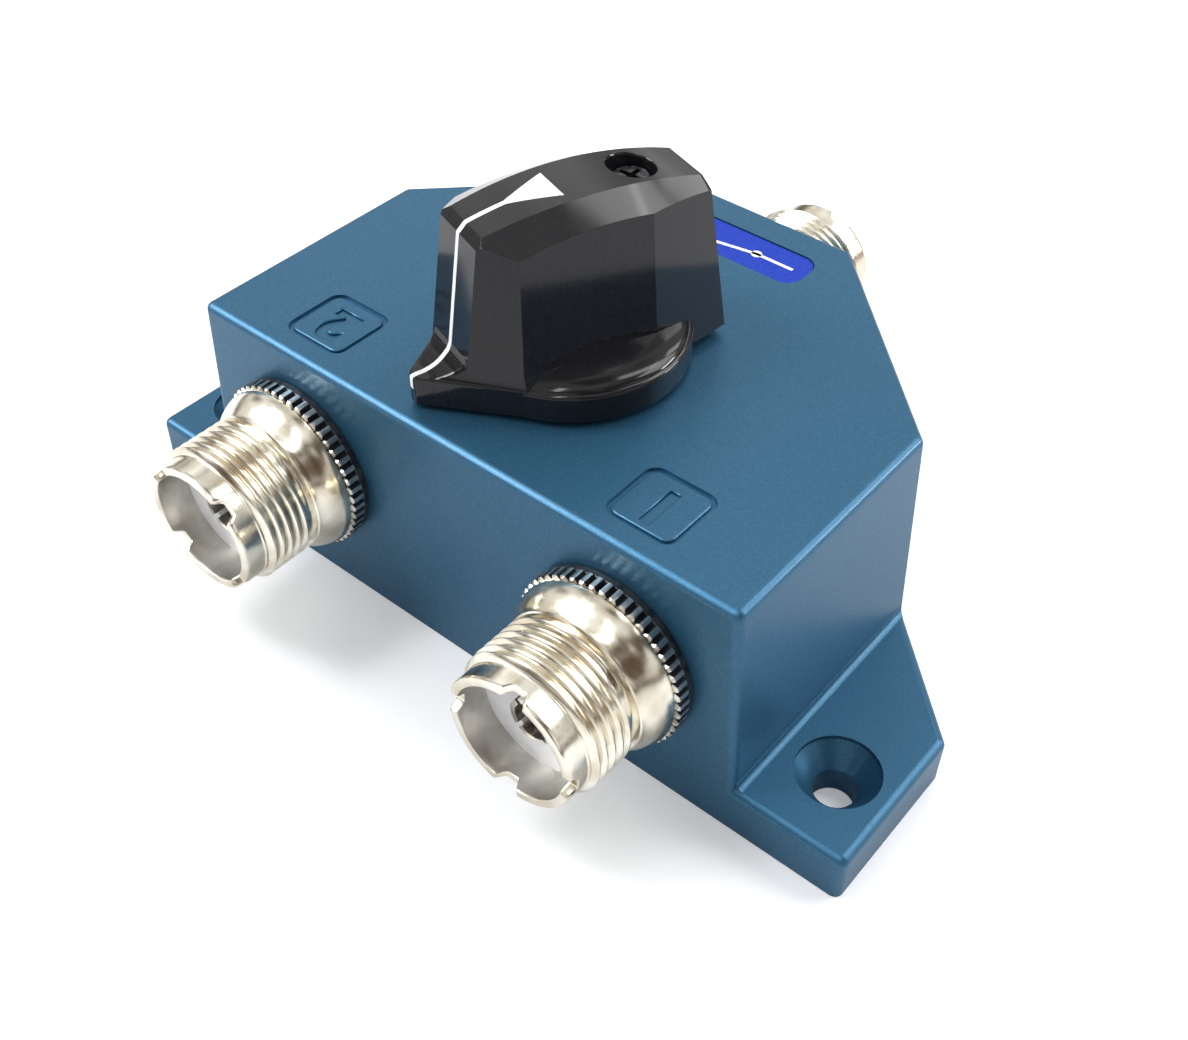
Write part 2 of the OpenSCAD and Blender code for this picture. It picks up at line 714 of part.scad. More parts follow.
module grip() {
  front_top = grip_front - tan(front_tilt) * (grip_h - grip_foot);
  difference() {
    intersection() {
      translate([-grip_back - 1, -2 * grip_half_t, grip_overhang_h])
        cube([grip_back + grip_front + 2, 4 * grip_half_t, grip_h]);
      grip_arch(0);
      grip_arch(1);
      grip_arch(-1);
    }
    for (s = [-1, 1]) {
      lean_cut(0, s * grip_half_t, s * 90, side_tilt);
      lean_cut(bevel_u, s * grip_half_t, s * bevel_azimuth, bevel_tilt);
      lean_cut(-rear_facet_u, s * grip_half_t, s * rear_azimuth, bevel_tilt);
    }
    lean_cut(grip_front, 0, 0, front_tilt);
    lean_cut(front_top - 0.55 + grip_h - 1.2 - grip_foot, 0, 0, 45);
    lean_cut(-grip_back + 0.4, 0, 180, back_tilt);
  }
}

// One of the three arched surfaces that bound the grip from above.
module grip_arch(side) {
  translate([arch_u, side * top_half_w, grip_h]) rotate([-side * flank_slope, 0, 0])
    translate([0, 0, -arch_r]) rotate([90, 0, 0])
      cylinder(h = far / 2, r = arch_r, center = true, $fn = 180);
}

// The round skirt with its low dome.
module skirt() {
  rim = skirt_r - 0.4;
  steps = 12;
  rotate_extrude($fn = 120) polygon(concat(
    [[0, knob_gap], [skirt_r - 0.2, knob_gap], [skirt_r, knob_gap + 0.2], [skirt_r, skirt_h - 0.4]],
    [for (i = [0:steps]) let (a = 90 * i / steps) [rim * cos(a), skirt_h + dome_h * sin(a)]]
  ));
}

// The pointer's nose: its sides and its ramp sweep from the tip up into the grip's facets.
module nose() {
  rows = len(nose_levels);
  sides = 8;
  pts = [for (l = nose_levels) let (
      root = grip_half_t - 0.1 - tan(side_tilt) * (l[0] - grip_foot)
    ) each [
    [0, -root, l[0]], [l[1], -l[2], l[0]], [l[3] - l[5], -l[4], l[0]], [l[3], -l[4] / 2, l[0]],
    [l[3], l[4] / 2, l[0]], [l[3] - l[5], l[4], l[0]], [l[1], l[2], l[0]], [0, root, l[0]]
  ]];
  walls = [for (i = [0:rows - 2], j = [0:sides - 1]) let (
      a = i * sides + j,
      b = i * sides + (j + 1) % sides
    ) each [[a, a + sides, b + sides], [a, b + sides, b]]];
  ends = [[for (j = [0:sides - 1]) j], [for (j = [sides - 1:-1:0]) (rows - 1) * sides + j]];
  polyhedron(pts, concat(walls, ends));
}

// The brass insert's outline, which the knob is moulded round.
module insert_body() {
  translate([0, 0, collar_from]) cylinder(h = collar_to - collar_from, r = collar_r);
  translate([-screw_u - lug_half_w, -lug_half_w, lug_from])
    cube([screw_u + lug_half_w, 2 * lug_half_w, lug_h]);
}

module knob() {
  color(black) from_front() at_knob() difference() {
    union() {
      skirt();
      nose();
      grip();
    }
    insert_body();
    translate([0, 0, -1]) cylinder(h = knob_hollow_h + 1, r = skirt_r - 1.6);
    cylinder(h = collar_from + eps, r = clip_r + 0.9);
    translate([-screw_u, 0, recess_floor]) cylinder(h = far / 10, r = recess_r);
    translate([-screw_u, 0, lug_from]) cylinder(h = far / 10, r = knob_screw_r + 0.15, $fn = 32);
  }
}

module drive_collar() {
  color(brass) from_front() at_knob() difference() {
    insert_body();
    translate([0, 0, collar_from - 1]) linear_extrude(shaft_top - collar_from + 1) shaft_section();
    translate([-screw_u, 0, 0]) cylinder(h = far / 10, r = knob_screw_r, $fn = 32);
  }
}

// Cross-recessed screw that draws the knob down on its insert.
module knob_screw() {
  color(steel) from_front() at_knob() translate([-screw_u, 0, recess_floor]) difference() {
    union() {
      cylinder(h = head_t - 0.4, r = head_r, $fn = 48);
      translate([0, 0, head_t - 0.4]) cylinder(h = 0.4, r1 = head_r, r2 = head_r - 0.5, $fn = 48);
      translate([0, 0, lug_from + 0.3 - recess_floor])
        cylinder(h = recess_floor - lug_from, r = knob_screw_r, $fn = 32);
    }
    for (a = [0, 90]) rotate([0, 0, a + 20])
      translate([0, 0, head_t]) cube([2.6, 0.55, 1.8], center = true);
  }
}

// ---------- shaft and rotor ----------

// Round shaft with one flat, which keys the knob and the rotor.
module shaft_section() {
  difference() {
    circle(shaft_r);
    translate([flat_u, -shaft_r]) square([shaft_r, 2 * shaft_r]);
  }
}

module shaft() {
  color(steel) from_front() at_rotor() difference() {
    union() {
      translate([0, 0, rotor_z]) linear_extrude(detent_z - rotor_z) shaft_section();
      translate([0, 0, detent_z]) cylinder(h = body_h + collar_from - detent_z, r = shaft_r);
      translate([0, 0, body_h + collar_from - eps])
        linear_extrude(shaft_top - collar_from + eps) shaft_section();
    }
    translate([0, 0, body_h + clip_from]) difference() {
      cylinder(h = clip_t, r = shaft_r + 1);
      translate([0, 0, -1]) cylinder(h = clip_t + 2, r = groove_r);
    }
    translate([0, 0, rotor_z - 1]) cylinder(h = rotor_screw_l + 1.5, r = knob_screw_r, $fn = 32);
  }
}

// Spring clip in the shaft's groove, above the bushing.
module retaining_clip() {
  color(steel) from_front() at_rotor() translate([0, 0, body_h + clip_from])
    linear_extrude(clip_t) difference() {
      circle(clip_r);
      circle(groove_r);
      translate([0, -clip_gap / 2]) square([clip_r + 1, clip_gap]);
    }
}

// Disc with two dimples for the ball, and a notch whose ends meet the stop pin.
module detent_disc() {
  reach = knob_swing + asin((stop_pin_r + run_gap) / stop_u);
  color(steel) from_front() at_rotor() translate([0, 0, detent_z]) difference() {
    cylinder(h = detent_t, r = detent_r);
    translate([0, 0, -1]) cylinder(h = detent_t + 2, r = shaft_r);
    translate([0, 0, -1]) linear_extrude(detent_t + 2)
      sector(stop_u - stop_pin_r - run_gap - 0.2, detent_r + 1, -reach, reach);
    for (s = [-1, 1]) rotate([0, 0, 180 + s * knob_swing])
      translate([ball_u, 0, detent_t + ball_r - dimple_d]) sphere(ball_r, $fn = 48);
  }
}

// Insulating rotor: a disc that carries the moving contacts, with a hub up to the detent disc.
module rotor() {
  color(ptfe) from_front() at_rotor() translate([0, 0, rotor_z]) difference() {
    union() {
      cylinder(h = rotor_t, r = rotor_r);
      cylinder(h = detent_z - rotor_z, r = hub_r);
    }
    translate([0, 0, -1]) linear_extrude(far / 10) shaft_section();
  }
}

// The moving contact: a split finger from the common ring to one of the two pads.
module contact_blade() {
  color(silver) from_front() at_rotor() translate([0, 0, blade_z]) linear_extrude(sheet_t) difference() {
    translate([blade_from, -blade_w / 2]) square([rotor_r - rim_gap - blade_from, blade_w]);
    translate([blade_slit_from, -blade_slit / 2]) square([rotor_r, blade_slit]);
  }
}

// Ring round the rotor that grounds the socket that isn't in use; open where the blade lies.
module ground_ring() {
  color(brass) from_front() at_rotor() translate([0, 0, blade_z]) linear_extrude(sheet_t) difference() {
    circle(rotor_r - rim_gap);
    circle(ground_in);
    polygon([
      [0, 0], 2 * rotor_r * [cos(ground_open), -sin(ground_open)],
      2 * rotor_r * [cos(ground_open), sin(ground_open)]
    ]);
  }
}

module rotor_screw() {
  color(steel) from_front() at_rotor() translate([0, 0, rotor_z]) difference() {
    union() {
      translate([0, 0, -rotor_screw_head_t])
        cylinder(h = rotor_screw_head_t, r = rotor_screw_head_r, $fn = 48);
      cylinder(h = rotor_screw_l, r = knob_screw_r, $fn = 32);
    }
    for (a = [0, 90]) rotate([0, 0, a]) translate([0, 0, -rotor_screw_head_t])
      cube([3.4, 0.6, 1.4], center = true);
  }
}

housing();
bottom_cover();
cover_screws();
label_plate();
socket_1_shell();
socket_1_insulator();
socket_1_contact();
socket_2_shell();
socket_2_insulator();
socket_2_contact();
socket_common_shell();
socket_common_insulator();
socket_common_contact();
socket_nuts();
shaft_bushing();
detent_spring();
detent_ball();
stop_pin();
contact_wafer();
wafer_screws();
wafer_rivets();
strip_1();
strip_2();
strip_common();
ground_fingers();
knob();
knob_screw();
drive_collar();
retaining_clip();
shaft();
detent_disc();
rotor();
contact_blade();
ground_ring();
rotor_screw();
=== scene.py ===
"""Coaxial antenna switch: a painted die-cast box, three threaded sockets and a pointer knob.

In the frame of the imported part: +X to the side of socket 1, +Y to the common socket at the
rear, +Z up. Sizes are in millimetres until MM takes them to metres; the lamps' are in metres.
The sections follow the switch as it is put together.
"""
import math

import bmesh
import bpy
from mathutils import Matrix, Vector
from mathutils.bvhtree import BVHTree


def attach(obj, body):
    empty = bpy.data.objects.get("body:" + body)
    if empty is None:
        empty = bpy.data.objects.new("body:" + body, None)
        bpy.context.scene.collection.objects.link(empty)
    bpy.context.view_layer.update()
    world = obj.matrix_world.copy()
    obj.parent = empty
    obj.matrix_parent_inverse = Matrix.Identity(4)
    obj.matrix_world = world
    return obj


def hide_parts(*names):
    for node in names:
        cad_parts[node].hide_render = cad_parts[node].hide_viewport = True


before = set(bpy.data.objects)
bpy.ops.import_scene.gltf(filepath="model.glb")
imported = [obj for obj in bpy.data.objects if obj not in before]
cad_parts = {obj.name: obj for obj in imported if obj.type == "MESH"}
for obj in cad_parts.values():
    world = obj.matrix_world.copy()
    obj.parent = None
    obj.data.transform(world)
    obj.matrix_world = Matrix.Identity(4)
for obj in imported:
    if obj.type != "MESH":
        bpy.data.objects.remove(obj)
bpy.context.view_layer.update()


# ---------------------------------------------------------------- camera
# The photograph's viewpoint: to the right of the front, 44 degrees up, a little rolled. It
# was fitted to the threads of the two front sockets and the edges of the casting.

MM = 0.001
FOCAL_LENGTH = 44.153
CAMERA_AT = (75.539, -96.859, 118.515)
azimuth, elevation, roll = [math.radians(turn) for turn in (38.889, 44.105, 0.918)]

camera_data = bpy.data.cameras.new("camera")
camera_data.sensor_width = 36
camera_data.sensor_fit = "HORIZONTAL"
camera_data.lens = FOCAL_LENGTH
camera_data.clip_start = 0.01
camera = bpy.data.objects.new("camera", camera_data)
bpy.context.scene.collection.objects.link(camera)
bpy.context.scene.camera = camera

back = Vector((math.sin(azimuth) * math.cos(elevation),
               -math.cos(azimuth) * math.cos(elevation), math.sin(elevation)))
right = (-back).cross(Vector((0, 0, 1))).normalized()
up = right.cross(-back)
right, up = (right * math.cos(roll) + up * math.sin(roll),
             up * math.cos(roll) - right * math.sin(roll))
view = Matrix((right, up, back)).transposed().to_4x4()
view.translation = Vector(CAMERA_AT) * MM
camera.matrix_world = view


# ---------------------------------------------------------------- floor and light
# A white table in a light tent: softboxes high at the rear and at the left, and panels,
# windows and walls that show in the metal and the black plastic as pale and dark bands.

FLOOR_GLOW = 0.22
CLOTH = (0.86, 0.85, 0.82, 1)
SHADED_CLOTH = (0.11, 0.08, 0.055, 1)
SHADE_FROM, SHADE_TO = 0.53, 0.42
DARK_ROOM = (0.10, 0.055, 0.03, 1)
TENT_STRENGTH = 0.95
FILL = (0.95, 0.98, 1.0, 1)
FILL_STRENGTH = 0.55
WHITE = (1, 1, 1, 1)
# Directions that look dark, each with its levels where the dark is full and where it ends.
TOWARDS_HORIZON = ((0, 0, 1), 0.07, 0.18)
TOWARDS_DOORWAY = ((0.79, -0.44, 0.43), 0.975, 0.95)


def new_object(name, mesh):
    """An object of that name in the scene, at the origin."""
    piece = bpy.data.objects.new(name, mesh)
    bpy.context.scene.collection.objects.link(piece)
    return piece


def mesh_from(bm, name):
    """Closes a bmesh into a mesh of that name, with its faces pointing outwards."""
    bmesh.ops.recalc_face_normals(bm, faces=bm.faces)
    mesh = bpy.data.meshes.new(name)
    bm.to_mesh(mesh)
    bm.free()
    return mesh


bm = bmesh.new()
bmesh.ops.create_grid(bm, x_segments=1, y_segments=1, size=3)
floor = new_object("floor", mesh_from(bm, "floor"))
floor.location.z = -0.05 * MM

floor_white = bpy.data.materials.new("floor_white")
floor_white.use_nodes = True
nodes, links = floor_white.node_tree.nodes, floor_white.node_tree.links
nodes["Principled BSDF"].inputs["Base Color"].default_value = (0.90, 0.90, 0.91, 1)
nodes["Principled BSDF"].inputs["Roughness"].default_value = 0.7
nodes["Principled BSDF"].inputs["Specular IOR Level"].default_value = 0.1
glow = nodes.new("ShaderNodeEmission")
glow.inputs["Color"].default_value = WHITE
glow_amount = nodes.new("ShaderNodeMath")
glow_amount.operation = "MULTIPLY"
glow_amount.inputs[1].default_value = FLOOR_GLOW
rays = nodes.new("ShaderNodeLightPath")
links.new(rays.outputs["Is Camera Ray"], glow_amount.inputs[0])
links.new(glow_amount.outputs[0], glow.inputs["Strength"])
both = nodes.new("ShaderNodeAddShader")
links.new(nodes["Principled BSDF"].outputs[0], both.inputs[0])
links.new(glow.outputs[0], both.inputs[1])
links.new(both.outputs[0], nodes["Material Output"].inputs["Surface"])
floor.data.materials.append(floor_white)

world = bpy.data.worlds.new("tent")
bpy.context.scene.world = world
world.use_nodes = True
nodes, links = world.node_tree.nodes, world.node_tree.links
nodes.clear()
direction = nodes.new("ShaderNodeTexCoord").outputs["Generated"]
patches = nodes.new("ShaderNodeTexNoise")
patches.inputs["Scale"].default_value = 2.3
patches.inputs["Detail"].default_value = 1.0
links.new(direction, patches.inputs["Vector"])
walls = nodes.new("ShaderNodeValToRGB")
walls.color_ramp.elements[0].position = SHADE_TO
walls.color_ramp.elements[0].color = SHADED_CLOTH
walls.color_ramp.elements[1].position = SHADE_FROM
walls.color_ramp.elements[1].color = CLOTH
links.new(patches.outputs["Fac"], walls.inputs["Fac"])

in_tent = nodes.new("ShaderNodeMath")
in_tent.operation = "MULTIPLY"
for number, (towards, dark_at, pale_at) in enumerate((TOWARDS_HORIZON, TOWARDS_DOORWAY)):
    facing = nodes.new("ShaderNodeVectorMath")
    facing.operation = "DOT_PRODUCT"
    facing.inputs[1].default_value = towards
    links.new(direction, facing.inputs[0])
    fade = nodes.new("ShaderNodeMapRange")
    fade.inputs["From Min"].default_value = dark_at
    fade.inputs["From Max"].default_value = pale_at
    links.new(facing.outputs["Value"], fade.inputs["Value"])
    links.new(fade.outputs["Result"], in_tent.inputs[number])
room = nodes.new("ShaderNodeMix")
room.data_type = "RGBA"
room.inputs["A"].default_value = DARK_ROOM
links.new(walls.outputs["Color"], room.inputs["B"])
links.new(in_tent.outputs[0], room.inputs["Factor"])


def glowing(strength, colour):
    """A world that glows evenly in one colour."""
    node = nodes.new("ShaderNodeBackground")
    node.inputs["Color"].default_value = colour
    node.inputs["Strength"].default_value = strength
    return node


def seen_by(kind, shader, otherwise):
    """One world for rays of that kind, and another for the rest."""
    node = nodes.new("ShaderNodeMixShader")
    links.new(rays.outputs[kind], node.inputs["Fac"])
    links.new(otherwise.outputs[0], node.inputs[1])
    links.new(shader.outputs[0], node.inputs[2])
    return node


rays = nodes.new("ShaderNodeLightPath")
tent = glowing(TENT_STRENGTH, WHITE)
links.new(room.outputs["Result"], tent.inputs["Color"])
fill_or_tent = seen_by("Is Glossy Ray", tent, glowing(FILL_STRENGTH, FILL))
surroundings = seen_by("Is Camera Ray", glowing(1, WHITE), fill_or_tent)
links.new(surroundings.outputs[0], nodes.new("ShaderNodeOutputWorld").inputs["Surface"])


def softbox(name, place, wide, tall, power, lights="all"):
    """A lamp panel that faces the object. It lights all, or the body colour or gloss alone."""
    lamp = bpy.data.lights.new(name, "AREA")
    lamp.shape = "RECTANGLE"
    lamp.size = wide
    lamp.size_y = tall
    lamp.energy = power
    holder = new_object(name, lamp)
    holder.location = place
    holder.rotation_euler = (-Vector(place)).to_track_quat("-Z", "Y").to_euler()
    holder.visible_glossy = lights != "body"
    holder.visible_diffuse = lights != "gloss"


softbox("softbox_rear", (-0.10, 0.34, 0.52), 0.40, 0.40, 1.45, "body")
softbox("softbox_left", (-0.55, -0.20, 0.30), 0.35, 0.35, 1.4, "body")
softbox("softbox_above", (-0.26, -0.17, 0.49), 0.16, 0.16, 1.1)
softbox("panel_left", (-0.34, -0.31, 0.38), 0.28, 0.24, 3.0, "gloss")
softbox("panel_rear", (-0.37, 0.43, 0.40), 0.45, 0.45, 0.30, "gloss")
softbox("strip_front", (0.12, -0.27, 0.52), 0.05, 0.30, 0.38, "gloss")
softbox("window_high", (0.159, 0.317, 0.661), 0.11, 0.25, 0.44)
softbox("window_low", (0.147, 0.569, 0.467), 0.11, 0.20, 0.36)
softbox("window_right", (0.33, 0.38, 0.45), 0.32, 0.32, 1.6)
softbox("window_side", (0.42, 0.41, 0.19), 0.18, 0.10, 1.1, "gloss")
bpy.context.scene.view_settings.view_transform = "Standard"


# ---------------------------------------------------------------- painted casting
# Die-cast zinc box, stoved with a blue metallic paint: fine bright flakes in a darker
# coat, and the slight orange peel of a thick sprayed film.

def noise(shader, cells_per_m, detail):
    """Noise on Object coordinates in the shader's tree; gives its level, from 0 to 1."""
    nodes, links = shader.id_data.nodes, shader.id_data.links
    place = nodes.new("ShaderNodeTexCoord")
    texture = nodes.new("ShaderNodeTexNoise")
    texture.inputs["Scale"].default_value = cells_per_m
    texture.inputs["Detail"].default_value = detail
    links.new(place.outputs["Object"], texture.inputs["Vector"])
    return texture.outputs["Fac"]


def polish(shader, level, low, high):
    """Roughness that follows a level, from low to high."""
    spread = shader.id_data.nodes.new("ShaderNodeMapRange")
    spread.inputs["To Min"].default_value = low
    spread.inputs["To Max"].default_value = high
    shader.id_data.links.new(level, spread.inputs["Value"])
    shader.id_data.links.new(spread.outputs["Result"], shader.inputs["Roughness"])


def roughen(shader, level, height_mm, strength):
    """Bump that follows a level."""
    bump = shader.id_data.nodes.new("ShaderNodeBump")
    bump.inputs["Distance"].default_value = height_mm * MM
    bump.inputs["Strength"].default_value = strength
    shader.id_data.links.new(level, bump.inputs["Height"])
    shader.id_data.links.new(bump.outputs["Normal"], shader.inputs["Normal"])


def finish(name, metallic, roughness, grain, low, high, between=(0.3, 0.7)):
    """A material whose colour goes from low to high with noise of that grain.

    The grain is the noise's cells per metre and its detail. A roughness of two values
    follows the same noise. Gives the material, its shader and the noise's level.
    """
    material = bpy.data.materials.new(name)
    material.use_nodes = True
    shader = material.node_tree.nodes["Principled BSDF"]
    shader.inputs["Metallic"].default_value = metallic
    level = noise(shader, *grain)
    tones = material.node_tree.nodes.new("ShaderNodeValToRGB")
    for stop, colour, at in zip(tones.color_ramp.elements, (low, high), between):
        stop.position = at
        stop.color = (*colour, 1)
    material.node_tree.links.new(level, tones.inputs["Fac"])
    material.node_tree.links.new(tones.outputs["Color"], shader.inputs["Base Color"])
    shader.inputs["Base Color"].default_value = (*Vector(low).lerp(Vector(high), 0.5), 1)
    if isinstance(roughness, tuple):
        polish(shader, level, *roughness)
    else:
        shader.inputs["Roughness"].default_value = roughness
    return material, shader, level


def dress(names, material):
    """Gives CAD nodes their finish."""
    for name in names:
        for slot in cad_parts[name].material_slots:
            slot.material = material


paint, shader, flakes = finish("metallic_paint", 0.6, (0.47, 0.39), (4200, 1),
                               (0.031, 0.114, 0.202), (0.039, 0.132, 0.230), (0.40, 0.66))
shader.inputs["Specular IOR Level"].default_value = 0.15
shader.inputs["Coat Weight"].default_value = 0.2
shader.inputs["Coat Roughness"].default_value = 0.18
roughen(shader, noise(shader, 900, 2), height_mm=0.012, strength=0.4)
dress(["housing"], paint)

# The small fillet in the corner between each ear and the side wall, and the sloping wall of
# the hole in each ear, from just under its edge down to the narrow part.
FRONT_Y = -26.1
EAR_TOP = 5.7
WALL_AT_EAR = 35.68
EAR_FILLET = 0.7
FILLET_SUNK = 0.3
FILLET_FROM = FRONT_Y + 0.55
CUT_LINE = 39.7
EAR_HOLE = (41.9, FRONT_Y + 8.4)
EAR_HOLE_WALL = [(4.27, 5.25), (4.1, 5.05), (2.2, 2.95), (2.2, 2.68), (4.27, 2.68)]


def spun(profile, steps):
    """A bmesh turned round Z from a closed profile of (radius, height) in mm."""
    bm = bmesh.new()
    ring = [bm.verts.new((r, 0, z)) for r, z in profile]
    edges = [bm.edges.new((a, b)) for a, b in zip(ring, ring[1:] + ring[:1])]
    bmesh.ops.spin(bm, geom=ring + edges, cent=(0, 0, 0), axis=(0, 0, 1), dvec=(0, 0, 0),
                   angle=2 * math.pi, steps=steps, use_merge=True, use_duplicate=False)
    bmesh.ops.remove_doubles(bm, verts=bm.verts, dist=1e-5)
    return bm


def smooth(piece, angle):
    """Smooth shading, with sharp edges above that angle."""
    bm = bmesh.new()
    bm.from_mesh(piece.data)
    for face in bm.faces:
        face.smooth = True
    for edge in bm.edges:
        edge.smooth = edge.is_manifold and edge.calc_face_angle(0) < math.radians(angle)
    bm.to_mesh(piece.data)
    bm.free()


def ear_fillet(side):
    """One fillet: a curved corner, extruded along the wall and cut off with the ear."""
    bm = bmesh.new()
    inner, foot = WALL_AT_EAR - FILLET_SUNK, EAR_TOP - 0.2
    section = [(inner, foot), (WALL_AT_EAR + EAR_FILLET + 0.1, foot)]
    for angle in range(270, 179, -15):
        turn = math.radians(angle)
        section.append((WALL_AT_EAR + EAR_FILLET * (1 + math.cos(turn)),
                        EAR_TOP + EAR_FILLET * (1 + math.sin(turn))))
    section.append((inner, EAR_TOP + EAR_FILLET + 0.05))
    face = bm.faces.new([bm.verts.new((x, FILLET_FROM, z)) for x, z in section])
    for item in bmesh.ops.extrude_face_region(bm, geom=[face])["geom"]:
        if isinstance(item, bmesh.types.BMVert):
            item.co.y = CUT_LINE - item.co.x
    bmesh.ops.transform(bm, verts=bm.verts, matrix=Matrix.Diagonal((side * MM, MM, MM, 1)))
    return bm


for number, side in (("1", 1), ("2", -1)):
    fillet = new_object("ear_fillet_%s" % number, mesh_from(ear_fillet(side), "ear_fillet"))
    bm = spun(EAR_HOLE_WALL, 96)
    bmesh.ops.transform(bm, verts=bm.verts, matrix=Matrix.Scale(MM, 4) @ Matrix.Translation(
        (side * EAR_HOLE[0], EAR_HOLE[1], 0)))
    wall = new_object("ear_hole_wall_%s" % number, mesh_from(bm, "ear_hole_wall"))
    for piece in (fillet, wall):
        smooth(piece, 20)
        piece.data.materials.append(paint)
        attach(piece, "case")


# ---------------------------------------------------------------- number fields
# The numbers beside the front sockets are engraved in the die: a line round a field of
# 8 mm with round corners, and the number in it. They read from the rear.

FIELD = 8.0
FIELD_CORNER = 1.5
FIELD_LINE = 0.5
FIELD_DEPTH = 0.35
GROOVE_DEPTH = 0.33
FIELD_Y = FRONT_Y + 6.6
SOCKET_X = 20.9
CASTING_TOP = 28.9
DIGIT_SIZE = 6.4
EDGE_ROUND = 0.22
DIGIT_BOLDER = 0.24
BED_GAP = 0.01


def round_square(half, corner):
    """The points round a square with round corners."""
    points = []
    for quarter, (x, y) in enumerate(((1, 1), (-1, 1), (-1, -1), (1, -1))):
        middle = (half - corner) * Vector((x, y))
        for step in range(9):
            turn = math.radians(90 * quarter + 90 * step / 8)
            points.append(middle + corner * Vector((math.cos(turn), math.sin(turn))))
    return points


for digit, side in (("1", 1), ("2", -1)):
    outline = bpy.data.curves.new("number_%s" % digit, "FONT")
    outline.body = digit
    outline.size = DIGIT_SIZE * MM
    outline.align_x = "CENTER"
    outline.align_y = "CENTER"
    field = new_object("number_field_%s" % digit, outline)
    bpy.ops.object.select_all(action="DESELECT")
    bpy.context.view_layer.objects.active = field
    field.select_set(True)
    bpy.ops.object.convert(target="CURVE")

    # The plate between the field's line and the number: round the number's own outline
    # goes the plate's, and both give way to the rounding of the edges.
    curve = field.data
    inset = FIELD_LINE - DIGIT_BOLDER
    half = FIELD / 2 - inset
    corners = round_square(half, FIELD_CORNER - inset)
    border = curve.splines.new("POLY")
    border.points.add(len(corners) - 1)
    for point, at in zip(border.points, corners):
        point.co = (at.x * MM, at.y * MM, 0, 1)
    border.use_cyclic_u = True
    curve.dimensions = "2D"
    curve.fill_mode = "BOTH"
    curve.bevel_depth = EDGE_ROUND * MM
    curve.bevel_resolution = 3
    curve.offset = -(EDGE_ROUND + DIGIT_BOLDER) * MM
    bpy.ops.object.convert(target="MESH")
    middle = Vector((side * SOCKET_X, FIELD_Y, CASTING_TOP - EDGE_ROUND))
    field.data.transform(Matrix.Translation(middle * MM) @ Matrix.Rotation(math.pi, 4, "Z"))

    # The bed of the grooves, which fills the field from its floor.
    bm = bmesh.new()
    bm.from_mesh(field.data)
    bmesh.ops.remove_doubles(bm, verts=bm.verts, dist=1e-7)
    grow = (FIELD / 2 - BED_GAP) / half
    middle.z = CASTING_TOP - FIELD_DEPTH
    bed = bm.faces.new([bm.verts.new((middle + grow * at.to_3d()) * MM) for at in corners])
    made = bmesh.ops.extrude_face_region(bm, geom=[bed])["geom"]
    bmesh.ops.translate(bm, verts=[item for item in made if isinstance(item, bmesh.types.BMVert)],
                        vec=(0, 0, (FIELD_DEPTH - GROOVE_DEPTH) * MM))
    field.data = mesh_from(bm, "number_field_%s" % digit)
    field.data.materials.append(paint)
    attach(field, "case")


# ---------------------------------------------------------------- label
# Anodised blue foil, glued in a shallow recess at the rear of the top. A plain change-over
# symbol is printed on it in white, and reads from the rear.

LABEL_TOP = CASTING_TOP - 0.15
LABEL_Y = -FRONT_Y - 7.2
PRINT_T = 0.04
STROKE = 0.42
DOT_R = 0.62
PIVOT = (-4.4, 0)
CONTACT_X, CONTACT_Y = 3.0, 1.35
BLADE_TIP = (2.2, 1.2)
LINE_END = 9.0

label_blue, shader, _ = finish("label_blue", 0, 0.42, (3000, 2),
                               (0.010, 0.034, 0.33), (0.018, 0.052, 0.43))
shader.inputs["Specular IOR Level"].default_value = 0.12
dress(["label_plate"], label_blue)


def stroke(bm, start, end):
    """A flat printed stroke between two points of the label, in mm."""
    start, end = Vector(start), Vector(end)
    along = end - start
    middle = ((start + end) / 2).to_3d()
    turn = Matrix.Rotation(math.atan2(along.y, along.x), 4, "Z")
    size = Matrix.Diagonal((along.length + STROKE / 2, STROKE, PRINT_T, 1))
    bmesh.ops.create_cube(bm, size=1, matrix=Matrix.Translation(middle) @ turn @ size)


bm = bmesh.new()
for x, y in (PIVOT, (CONTACT_X, CONTACT_Y), (CONTACT_X, -CONTACT_Y)):
    bmesh.ops.create_cone(bm, cap_ends=True, segments=32, radius1=DOT_R, radius2=DOT_R,
                          depth=PRINT_T, matrix=Matrix.Translation((x, y, 0)))
stroke(bm, (-LINE_END, 0), PIVOT)
stroke(bm, (CONTACT_X, CONTACT_Y), (LINE_END, CONTACT_Y))
stroke(bm, (CONTACT_X, -CONTACT_Y), (LINE_END, -CONTACT_Y))
stroke(bm, PIVOT, BLADE_TIP)
bmesh.ops.transform(bm, verts=bm.verts, matrix=Matrix.Scale(MM, 4) @ Matrix.Translation(
    (0, LABEL_Y, LABEL_TOP + PRINT_T / 2)) @ Matrix.Rotation(math.pi, 4, "Z"))
label_print = new_object("label_print", mesh_from(bm, "label_print"))
print_white, _, _ = finish("print_white", 0, 0.5, (4000, 2),
                           (0.80, 0.80, 0.84), (0.92, 0.92, 0.93), (0.3, 0.6))
label_print.data.materials.append(print_white)
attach(label_print, "case")
